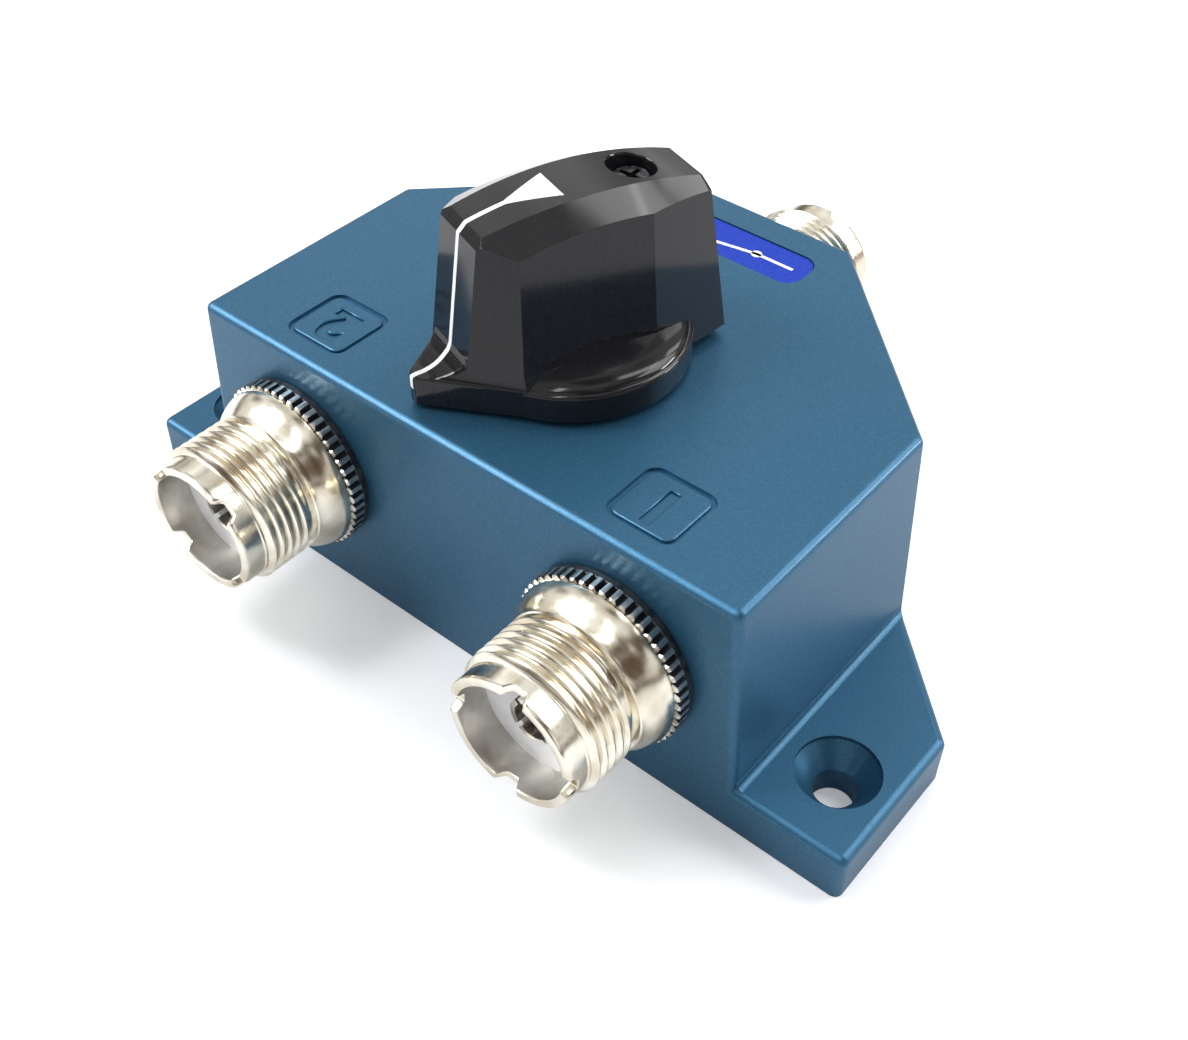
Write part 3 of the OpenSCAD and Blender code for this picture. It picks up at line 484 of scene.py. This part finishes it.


# ---------------------------------------------------------------- socket shells
# Turned brass, nickel plated: spigot, ring, knurled flange, flared shoulder, the 5/8-24
# thread, and a nose with four notches for the plug's teeth. The plate is bright on the
# barrel. On the knurl and the plain ring behind it the plate is rougher and painted darker,
# as painted shade; in the bore it is rougher and darker. Between the teeth it is painted near
# black, as painted shade in the grooves.

SOCKET_Z = 15.3
THREAD_R = 7.94
THREAD_DEPTH = 0.62
THREAD_PITCH = 25.4 / 24
THREAD_FROM = 5.75
THREAD_TO = 12.1
THREAD_STEPS = 96
RUN_OUT = 3.5
ROOT_R = THREAD_R - THREAD_DEPTH
RIM = 14.6
NOSE_R = 7.2
NOSE_BANDS = [12.6, 13.0, 13.4, 13.8, 14.1]
MOUTH_R = 6.2
MOUTH_FLOOR = 2.0
NOTCH_DEPTH = 1.1
NOTCH_HALF_W = 1.45
NOTCH_FLANK = 0.85
SHOULDER = [(9.05, 2.3), (9.22, 2.42), (9.2, 2.8), (9.08, 3.3), (8.86, 3.9), (8.55, 4.5),
            (8.22, 5.0), (8.0, 5.4), (7.96, 5.55), (7.8, 5.68), (ROOT_R, 5.72)]
BORE_R = 4.4
SPIGOT_R = 6.0
SPIGOT_L = 6.6
RING_R = 9.4
FLANGE_R = 9.6
KNURL_TEETH = 51
KNURL_FROM = 0.8
KNURL_TO = 2.3
KNURL_DEPTH = 0.6
KNURL_BEVEL = 0.2
# Place along a tooth's pitch, and depth below the crests, of a tooth's four corners.
TOOTH = ((0.0, KNURL_DEPTH), (0.27, 0.05), (0.5, 0), (0.73, 0.05))

nickel, shader, _ = finish("nickel_plate", 1, 0.16, (260, 3),
                           (0.67, 0.60, 0.475), (0.95, 0.915, 0.805), (0.35, 0.62))
turning = noise(shader, 2600, 3)
polish(shader, turning, 0.12, 0.28)
roughen(shader, turning, height_mm=0.006, strength=0.12)
# Rougher, darker nickel. On the knurl and the plain ring behind it the darker tone is painted
# shade; in the bore the plate is rougher and darker.
dull_and_shaded, _, _ = finish("dull_nickel_and_painted_shade", 1, (0.38, 0.22), (350, 2),
                      (0.50, 0.48, 0.44), (0.70, 0.68, 0.63), (0.35, 0.7))
# Near black between the knurl's teeth: painted shade in the grooves.
painted_groove_shade, _, _ = finish("nickel_painted_shade_in_grooves", 0.7, 0.4, (900, 3),
                        (0.025, 0.03, 0.035), (0.09, 0.09, 0.09), (0.35, 0.7))
SHELL_FINISHES = (nickel, dull_and_shaded, painted_groove_shade)


def add_to(bm, other):
    """Adds one bmesh to another."""
    carrier = bpy.data.meshes.new("carrier")
    other.to_mesh(carrier)
    other.free()
    bm.from_mesh(carrier)
    bpy.data.meshes.remove(carrier)


def notch(arc_mm):
    """Depth of a rim notch, at a distance round the rim from its middle."""
    flank = max(0.0, min(1.0, (NOTCH_HALF_W - abs(arc_mm)) / NOTCH_FLANK))
    return NOTCH_DEPTH * flank * flank * (3 - 2 * flank)


def plate_on(middle):
    """Which of the shell's finishes a face has."""
    out = middle.xy.length
    # The knurl's grooves take the near-black painted shade.
    if middle.z < KNURL_TO - 0.25 and FLANGE_R - KNURL_DEPTH < out < FLANGE_R - 0.15:
        return SHELL_FINISHES.index(painted_groove_shade)
    # The knurl band and the ring behind it are rougher and darker as painted shade; the bore is
    # rougher and darker.
    in_band = middle.z < KNURL_TO and out > FLANGE_R - KNURL_DEPTH - 0.3
    in_bore = middle.z > MOUTH_FLOOR and abs(out - MOUTH_R) < 0.05
    return SHELL_FINISHES.index(dull_and_shaded if in_band or in_bore else nickel)


def shell(notch_at):
    """One socket shell in its own frame: Z out of the wall, from 0 at the wall."""
    nose = [(ROOT_R, THREAD_TO), (NOSE_R, THREAD_TO + 0.15)]
    nose += [(NOSE_R, z) for z in NOSE_BANDS]
    rim = [(NOSE_R, RIM - 0.22), (NOSE_R - 0.07, RIM - 0.07), (NOSE_R - 0.22, RIM),
           (MOUTH_R + 0.2, RIM), (MOUTH_R + 0.06, RIM - 0.06), (MOUTH_R, RIM - 0.2)]
    mouth = [(MOUTH_R, z) for z in NOSE_BANDS[::-1] + [MOUTH_FLOOR]]
    foot = [(BORE_R, MOUTH_FLOOR), (BORE_R, -SPIGOT_L), (SPIGOT_R, -SPIGOT_L), (SPIGOT_R, 0),
            (RING_R - 0.1, 0), (RING_R, 0.1), (RING_R, 0.7), (RING_R - 0.1, KNURL_FROM),
            (SHOULDER[0][0], KNURL_FROM + 0.02)]
    bm = spun(SHOULDER + nose + rim + mouth + foot, 256)
    for vert in bm.verts:
        above = (vert.co.z - NOSE_BANDS[0]) / (RIM - NOSE_BANDS[0])
        if above > 0.01:
            angle = math.degrees(math.atan2(vert.co.y, vert.co.x)) - notch_at
            arc = math.radians((angle + 45) % 90 - 45) * (NOSE_R + MOUTH_R) / 2
            vert.co.z -= notch(arc) * above ** 0.8
    add_to(bm, thread_ridge())
    add_to(bm, knurl())
    for face in bm.faces:
        face.material_index = plate_on(face.calc_center_median())
    return bm


def thread_ridge():
    """The thread as one closed ridge along a helix, thinning out at both ends."""
    bm = bmesh.new()
    turns = (THREAD_TO - THREAD_FROM) / THREAD_PITCH - 0.35
    steps = round(turns * THREAD_STEPS)
    half = THREAD_PITCH / 2
    section = [(ROOT_R - 0.08, -half * 0.94), (ROOT_R, -half * 0.9), (THREAD_R - 0.04, -0.1),
               (THREAD_R, -0.05), (THREAD_R, 0.05), (THREAD_R - 0.04, 0.1), (ROOT_R, half * 0.9),
               (ROOT_R - 0.08, half * 0.94)]
    start = THREAD_FROM + half * 0.7
    face = bm.faces.new([bm.verts.new((r, 0, start + z)) for r, z in section])
    bmesh.ops.spin(bm, geom=[face], cent=(0, 0, 0), axis=(0, 0, 1),
                   dvec=(0, 0, THREAD_PITCH / THREAD_STEPS),
                   angle=2 * math.pi * steps / THREAD_STEPS, steps=steps, use_duplicate=False)
    for vert in bm.verts:
        turn = math.atan2(vert.co.y, vert.co.x) / (2 * math.pi)
        along = (vert.co.z - start) / THREAD_PITCH
        along = turn + round(along - turn)
        fade = min(1.0, max(0.0, along) * RUN_OUT, max(0.0, turns - along) * RUN_OUT)
        radius = vert.co.xy.length
        if radius > ROOT_R:
            vert.co.xy *= (ROOT_R - 0.03 + (radius - ROOT_R + 0.03) * fade) / radius
    return bm


def knurl():
    """The knurled band: straight teeth with small flats and bevelled ends."""
    bm = bmesh.new()
    bmesh.ops.create_circle(bm, cap_ends=True, segments=KNURL_TEETH * 4, radius=FLANGE_R)
    pitch = 2 * math.pi / KNURL_TEETH
    for vert in bm.verts:
        quarters = round(4 * math.atan2(vert.co.y, vert.co.x) / pitch)
        along, depth = TOOTH[quarters % 4]
        angle = (quarters // 4 + along) * pitch
        vert.co.xy = (FLANGE_R - depth) * Vector((math.cos(angle), math.sin(angle)))
    made = bmesh.ops.extrude_face_region(bm, geom=bm.faces[:])["geom"]
    top = [item for item in made if isinstance(item, bmesh.types.BMVert)]
    bmesh.ops.translate(bm, verts=top, vec=(0, 0, KNURL_TO - KNURL_FROM - KNURL_BEVEL))
    cap = [item for item in made if isinstance(item, bmesh.types.BMFace)]
    bmesh.ops.inset_region(bm, faces=cap, thickness=KNURL_BEVEL, depth=KNURL_BEVEL)
    bmesh.ops.translate(bm, verts=bm.verts, vec=(0, 0, KNURL_FROM))
    return bm


# Name, place of the wall, which way the socket faces, and where its first notch lies.
SOCKETS = (("1", (SOCKET_X, FRONT_Y, SOCKET_Z), 90, 85),
           ("2", (-SOCKET_X, FRONT_Y, SOCKET_Z), 90, 47),
           ("common", (0, -FRONT_Y, SOCKET_Z), -90, 20))
for which, wall, facing, notch_at in SOCKETS:
    bm = shell(notch_at)
    bmesh.ops.transform(bm, verts=bm.verts, matrix=Matrix.Scale(MM, 4)
                        @ Matrix.Translation(wall) @ Matrix.Rotation(math.radians(facing), 4, "X"))
    piece = new_object("shell_%s" % which, mesh_from(bm, "shell_%s" % which))
    smooth(piece, 32)
    for material in SHELL_FINISHES:
        piece.data.materials.append(material)
    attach(piece, "case")
    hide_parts("socket_%s_shell" % which)
dress(["socket_nuts"], nickel)


# ---------------------------------------------------------------- insulators and contacts
# White fluoropolymer turned to a waxy face; slotted spring contacts of silver-plated
# bronze, a little dulled, and flat strips and a blade of the same.

waxy, shader, _ = finish("waxy_insulator", 0, 0.35, (500, 2),
                         (0.88, 0.88, 0.91), (0.95, 0.95, 0.96))
shader.inputs["Subsurface Weight"].default_value = 0.3
shader.inputs["Subsurface Radius"].default_value = (0.002, 0.002, 0.002)
dress(["socket_%s_insulator" % which for which, *_ in SOCKETS] + ["rotor"], waxy)

silver, _, _ = finish("silver_plate", 1, (0.34, 0.16), (900, 3),
                      (0.62, 0.57, 0.48), (0.90, 0.88, 0.84), (0.3, 0.6))
dress(["socket_%s_contact" % which for which, *_ in SOCKETS], silver)
dress(["strip_1", "strip_2", "strip_common", "contact_blade"], silver)


# ---------------------------------------------------------------- plated steel pieces
# Bottom cover, screws, ball, spring, clip, shaft and detent disc: pressed or turned steel,
# zinc plated, with the plate's fine crystals.

zinc, shader, crystals = finish("zinc_plate", 1, (0.42, 0.24), (1200, 3),
                                (0.48, 0.49, 0.52), (0.68, 0.69, 0.70))
roughen(shader, crystals, height_mm=0.01, strength=0.3)
dress(["bottom_cover", "cover_screws", "detent_spring", "detent_ball", "stop_pin", "wafer_screws",
       "retaining_clip", "shaft", "detent_disc", "rotor_screw"], zinc)


# ---------------------------------------------------------------- brass pieces
# Bushing, rivets, grounding fingers and ring, and the insert that is moulded into the knob:
# turned or stamped brass, left bare.

brass, _, _ = finish("turned_brass", 1, (0.34, 0.20), (1500, 2),
                     (0.66, 0.48, 0.22), (0.82, 0.65, 0.34))
dress(["shaft_bushing", "wafer_rivets", "ground_fingers", "drive_collar", "ground_ring"], brass)


# ---------------------------------------------------------------- wafer
# The plate that carries the fixed strips round the rotor: brown paper laminate, punched,
# and held by two screws.

laminate, _, _ = finish("paper_laminate", 0, 0.45, (2500, 4),
                        (0.28, 0.14, 0.05), (0.46, 0.27, 0.12))
dress(["contact_wafer"], laminate)


# ---------------------------------------------------------------- knob
# Moulded in glossy black phenolic: a round skirt, and a pointer nose that sweeps up into a
# faceted grip with an arched top. It is hollow over the clip and round its brass insert.

KNOB_Y = -7.3
KNOB_SWING = 19.5
GRIP_FOOT = 4.0
GRIP_H = 19.5
GRIP_FRONT = 13.45
GRIP_BACK = 14.9
GRIP_HALF_T = 7.46
GRIP_TILTS = {"side": 5.6, "front": 7.3, "back": 7.8, "bevel": 5.6}
# Place along the pointer, and the azimuth that it faces, of each upright facet.
BEVEL_AT = (9.4, 46.4)
REAR_FACET_AT = (-5.3, 103.9)
ARCH_R = 46.0
ARCH_U = 0.5
ARCH_STEP = 1.4
TOP_HALF_W = 3.35
FLANK_SLOPE = 30.5
KNOB_EDGE = 0.38
SKIRT_R = 12.2
SKIRT_H = 3.6
DOME_H = 1.9
KNOB_GAP = 0.5
TIP_U = 17.5
SCREW_U = 6.45
RECESS_R = 2.4
RECESS_D = 2.6
SCREW_BORE = (1.4, 8.0)
SKIRT_WALL = 1.6
HOLLOW_H = 2.9
CLIP_POCKET = (5.9, 4.21)
INSERT_SEAT = (5.2, 12.6)
LUG_SEAT = ((-4.725, 0, 8.75), (9.45, 6, 3.5, 1))
knob_place = (Matrix.Scale(MM, 4) @ Matrix.Translation((0, KNOB_Y, CASTING_TOP))
              @ Matrix.Rotation(math.radians(-90 - KNOB_SWING), 4, "Z"))


def pare(bm, point, normal):
    """Cuts off what lies beyond a plane, and closes the cut with a facet."""
    bmesh.ops.bisect_plane(bm, geom=bm.verts[:] + bm.edges[:] + bm.faces[:], dist=1e-4,
                           plane_co=point, plane_no=normal, clear_outer=True)
    bmesh.ops.remove_doubles(bm, verts=bm.verts, dist=2e-3)
    bmesh.ops.holes_fill(bm, edges=[edge for edge in bm.edges if edge.is_boundary])


def lean(azimuth, tilt):
    """The outward normal of a facet that faces an azimuth and leans back by its tilt."""
    azimuth, tilt = math.radians(azimuth), math.radians(tilt)
    return Vector((math.cos(azimuth) * math.cos(tilt), math.sin(azimuth) * math.cos(tilt),
                   math.sin(tilt)))


def arch_h(u):
    """Height of the arched top at a distance in front of the knob's axis."""
    return GRIP_H - ARCH_R + math.sqrt(ARCH_R ** 2 - (u - ARCH_U) ** 2)


def grip():
    """The grip: facets pared off a block, with its edges rounded."""
    bm = bmesh.new()
    bmesh.ops.create_cube(bm, size=40, matrix=Matrix.Translation((0, 0, 21)))
    front_top = GRIP_FRONT - math.tan(math.radians(GRIP_TILTS["front"])) * (GRIP_H - GRIP_FOOT)
    for side in (1, -1):
        at = (0, side * GRIP_HALF_T, GRIP_FOOT)
        pare(bm, at, lean(side * 90, GRIP_TILTS["side"]))
        pare(bm, (BEVEL_AT[0], at[1], GRIP_FOOT), lean(side * BEVEL_AT[1], GRIP_TILTS["bevel"]))
        pare(bm, (REAR_FACET_AT[0], at[1], GRIP_FOOT),
             lean(side * REAR_FACET_AT[1], GRIP_TILTS["bevel"]))
    pare(bm, (GRIP_FRONT, 0, GRIP_FOOT), lean(0, GRIP_TILTS["front"]))
    pare(bm, (front_top - 0.55, 0, GRIP_H - 1.2), lean(0, 45))
    pare(bm, (0.4 - GRIP_BACK, 0, GRIP_FOOT), lean(180, GRIP_TILTS["back"]))
    for side in (0, 1, -1):
        turn = Matrix.Rotation(math.radians(-side * FLANK_SLOPE), 3, "X")
        for step in range(-13, 14):
            up = lean(0, 90 - ARCH_STEP * step)
            from_crown = turn @ (ARCH_R * (up - Vector((0, 0, 1))))
            pare(bm, Vector((ARCH_U, side * TOP_HALF_W, GRIP_H)) + from_crown, turn @ up)
    edges = [edge for edge in bm.edges if edge.calc_face_angle(0) > math.radians(4)]
    bmesh.ops.bevel(bm, geom=edges, offset=KNOB_EDGE, offset_type="OFFSET", segments=3,
                    profile=0.5, affect="EDGES", clamp_overlap=True, material=-1)
    return bm


# Height, the side corner's place along and across the pointer, the front edge's place and
# half width, at rising levels of the nose. Its sides close in at NOSE_DRAFT as they rise.
NOSE_DRAFT = 0.098
NOSE_LEVELS = (
    (KNOB_GAP, 9.3, 7.7, TIP_U - 0.02, 0.55), (3.3, 9.3, 7.7, TIP_U, 0.6),
    (3.46, 9.3, 7.7, TIP_U - 0.08, 0.68), (3.54, 9.3, 7.69, TIP_U - 0.5, 0.95),
    (3.6, 9.3, 7.74, TIP_U - 1.4, 1.5), (3.85, 9.3, 7.7, TIP_U - 2.3, 2.1),
    (4.25, 9.33, 7.6, TIP_U - 3.05, 2.6), (4.7, 9.35, 7.48, TIP_U - 3.55, 2.95),
    (5.1, 9.36, 7.36, GRIP_FRONT + 0.1, 3.22), (5.6, 9.36, 7.25, GRIP_FRONT - 0.15, 3.4),
    (6.12, 9.3, 7.12, GRIP_FRONT - 0.29, 3.36), (8.0, 9.0, 6.6, GRIP_FRONT - 0.65, 3.2))


def between(before, start, end, after, part):
    """A point of the smooth curve through four levels, between the middle two."""
    return [0.5 * (2 * b + (c - a) * part + (2 * a - 5 * b + 4 * c - d) * part ** 2
                   + (3 * b - a - 3 * c + d) * part ** 3)
            for a, b, c, d in zip(before, start, end, after)]


def nose_rows():
    """The nose's levels, with three more between each two of the sweep."""
    rows = [list(level) for level in NOSE_LEVELS[:4]]
    for i in range(3, len(NOSE_LEVELS) - 1):
        before = NOSE_LEVELS[max(i - 1, 2)]
        after = NOSE_LEVELS[min(i + 2, len(NOSE_LEVELS) - 1)]
        for quarter in (0.25, 0.5, 0.75, 1.0):
            rows.append(between(before, NOSE_LEVELS[i], NOSE_LEVELS[i + 1], after, quarter))
    return rows


def nose_outline(corner_u, corner_v, front_u, half_w, side_v):
    """The nose at one level: straight sides, ruled flanks and a front with rounded corners."""
    side = Vector((corner_u, -corner_v))
    corner = Vector((front_u, -half_w))
    soft = min(0.35, half_w * 0.45)
    on_flank = corner + soft * (side - corner).normalized()
    on_front = corner + Vector((0, soft))
    half = [Vector((0, -side_v)), side, on_flank, (on_flank + 2 * corner + on_front) / 4, on_front]
    return half + [Vector((at.x, -at.y)) for at in reversed(half)]


def nose():
    """The nose: one outline, extruded from level to level."""
    bm = bmesh.new()
    ring = bmesh.ops.create_circle(bm, cap_ends=True, segments=10, radius=1)["verts"]
    top = bm.faces[:]
    for level, (h, *row) in enumerate(nose_rows()):
        if level:
            made = bmesh.ops.extrude_face_region(bm, geom=top + list(top[0].edges))["geom"]
            top = [item for item in made if isinstance(item, bmesh.types.BMFace)]
            ring = [next(edge.other_vert(vert) for edge in vert.link_edges
                         if edge.other_vert(vert) in made) for vert in ring]
        side_v = GRIP_HALF_T - NOSE_DRAFT * (h - GRIP_FOOT) - 0.03
        for vert, at in zip(ring, nose_outline(*row, side_v)):
            vert.co = (at.x, at.y, h)
    return bm


def turned(profile, at=(0, 0), steps=128):
    """A solid turned round an upright axis, from (radius, height) points, axis to axis."""
    bm = bmesh.new()
    chain = [bm.verts.new((r, 0, z)) for r, z in profile]
    edges = [bm.edges.new(pair) for pair in zip(chain, chain[1:])]
    bmesh.ops.spin(bm, geom=chain + edges, cent=(0, 0, 0), axis=(0, 0, 1), dvec=(0, 0, 0),
                   angle=2 * math.pi, steps=steps, use_merge=True, use_duplicate=False)
    bmesh.ops.remove_doubles(bm, verts=bm.verts, dist=1e-4)
    bmesh.ops.translate(bm, verts=bm.verts, vec=(*at, 0))
    return bm


def rod(radius, bottom, top):
    """The profile of a plain cylinder."""
    return [(0, bottom), (radius, bottom), (radius, top), (0, top)]


def skirt():
    """The round skirt: a straight wall, a soft rim and a low dome."""
    rim = SKIRT_R - 0.4
    dome = [(rim * math.cos(math.radians(a)), SKIRT_H + DOME_H * math.sin(math.radians(a)))
            for a in range(6, 91, 6)]
    return turned([(0, KNOB_GAP), (SKIRT_R - 0.2, KNOB_GAP), (SKIRT_R - 0.06, KNOB_GAP + 0.06),
                   (SKIRT_R, KNOB_GAP + 0.2), (SKIRT_R, SKIRT_H - 0.45),
                   (SKIRT_R - 0.05, SKIRT_H - 0.2), (SKIRT_R - 0.2, SKIRT_H - 0.04),
                   (rim + 0.03, SKIRT_H + 0.03)] + dome, steps=160)


def hollows():
    """What is cut out: the hollow, the clip's pocket, the insert's seat and the screw's recess."""
    slope = (SCREW_U + ARCH_U) / ARCH_R
    crown = arch_h(-SCREW_U)
    floor_h = crown - RECESS_D
    recess = turned([(0, floor_h), (RECESS_R, floor_h), (RECESS_R, crown - 0.3),
                     (RECESS_R + 0.03, crown - 0.15), (RECESS_R + 0.15, crown - 0.01),
                     (RECESS_R + 0.6, crown + 0.1), (RECESS_R + 0.6, crown + 2),
                     (0, crown + 2)], (-SCREW_U, 0), 64)
    for vert in recess.verts:
        if vert.co.z > floor_h + 0.1:
            vert.co.z += slope * (vert.co.x + SCREW_U)
    lug = bmesh.new()
    middle, size = LUG_SEAT
    bmesh.ops.create_cube(lug, size=1, matrix=Matrix.Translation(middle) @ Matrix.Diagonal(size))
    clip_r, clip_top = CLIP_POCKET
    return [turned(rod(SKIRT_R - SKIRT_WALL, -1, HOLLOW_H)), turned(rod(clip_r, 0, clip_top)),
            turned(rod(INSERT_SEAT[0], clip_top - 0.01, INSERT_SEAT[1])), lug,
            turned(rod(*SCREW_BORE, floor_h + 1), (-SCREW_U, 0), 32), recess]


def shaped(name, base, added, removed):
    """Unites solids with a first one, cuts others out, and returns the piece."""
    piece = new_object(name, mesh_from(base, name))
    for operation, solids in (("UNION", added), ("DIFFERENCE", removed)):
        for solid in solids:
            tool = new_object("tool", mesh_from(solid, "tool"))
            step = piece.modifiers.new("shape", "BOOLEAN")
            step.solver = "EXACT"
            step.operation = operation
            step.object = tool
            result = bpy.data.meshes.new_from_object(
                piece.evaluated_get(bpy.context.evaluated_depsgraph_get()))
            piece.modifiers.clear()
            piece.data = result
            bpy.data.objects.remove(tool)
    bm = bmesh.new()
    bm.from_mesh(piece.data)
    bmesh.ops.remove_doubles(bm, verts=bm.verts, dist=1e-3)
    piece.data = mesh_from(bm, name)
    return piece


knob = shaped("knob_moulding", grip(), [skirt(), nose()], hollows())
on_knob = BVHTree.FromObject(knob, bpy.context.evaluated_depsgraph_get())
knob.data.transform(knob_place)
smooth(knob, 33)
knob.modifiers.new("even_shading", "WEIGHTED_NORMAL").keep_sharp = True

gloss_black, shader, _ = finish("gloss_black", 0, (0.095, 0.12), (1500, 2),
                                (0.0105, 0.010, 0.0125), (0.0135, 0.0125, 0.0145))
shader.inputs["Specular IOR Level"].default_value = 0.35
roughen(shader, noise(shader, 160, 1), height_mm=0.05, strength=0.08)
knob.data.materials.append(gloss_black)
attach(knob, "selector")
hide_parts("knob")

blackened, _, _ = finish("blackened_steel", 0.8, 0.28, (2000, 3),
                         (0.03, 0.03, 0.035), (0.16, 0.16, 0.17), (0.45, 0.75))
dress(["knob_screw"], blackened)


# ---------------------------------------------------------------- pointer line
# White paint wiped into a fine groove: from the tip up the nose and the front, and along
# the top to an arrow whose base lies just in front of the axis.

LINE_HALF_W = 0.27
LINE_PROUD = 0.03
LINE_T = 0.08
ARROW_NECK_U = 6.9
ARROW_BASE_U = 2.03
ARROW_HALF_W = 2.18
COLUMNS = 6
# Distance in front of the axis, and height, where the line starts and at the grip's front.
LINE_START = Vector((TIP_U, 2.1))
FRONT_FOOT = Vector((GRIP_FRONT - 0.29, 6.12))
FRONT_BROW = Vector((11.72, 17.49))
ON_TOP = (10.75, 10.6, 10.3, 10.0, 9.6, 9.2, 8.7, 8.2, 7.7, 7.3, ARROW_NECK_U,
          6.4, 5.8, 5.2, 4.6, 4.0, 3.4, 2.8, 2.4, ARROW_BASE_U)

line = [LINE_START]
line += [Vector((front_u, h)) for h, _, _, front_u, _ in nose_rows()
         if 3.2 < h < FRONT_FOOT.y - 0.02]
line += [FRONT_FOOT.lerp(FRONT_BROW, i / 24) for i in range(25)]
line += [FRONT_BROW + (0.1 + 0.18 * i) * Vector((-1, 1)) for i in range(5)]
line += [Vector((u, arch_h(u))) for u in ON_TOP]
bm = bmesh.new()
bmesh.ops.create_grid(bm, x_segments=COLUMNS, y_segments=len(line) - 1, size=1)
for i, vert in enumerate(bm.verts):
    row, column = divmod(i, COLUMNS + 1)
    along = line[min(row + 1, len(line) - 1)] - line[max(row - 1, 0)]
    out = Vector((along.y, 0, -along.x)).normalized()
    at = line[row]
    flare = max(0, (ARROW_NECK_U - at.x) / (ARROW_NECK_U - ARROW_BASE_U))
    half = LINE_HALF_W + (ARROW_HALF_W - LINE_HALF_W) * flare
    start = Vector((at.x, half * (2 * column / COLUMNS - 1), at.y)) + 0.5 * out
    hit = on_knob.ray_cast(start, -out, 1.5)[0]
    vert.co = (hit or start - 0.5 * out) + LINE_PROUD * out
bmesh.ops.recalc_face_normals(bm, faces=bm.faces)
bmesh.ops.solidify(bm, geom=bm.faces[:], thickness=LINE_T)
pointer_line = new_object("pointer_line", mesh_from(bm, "pointer_line"))
pointer_line.data.transform(knob_place)
smooth(pointer_line, 40)
pointer_line.data.materials.append(print_white)
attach(pointer_line, "selector")
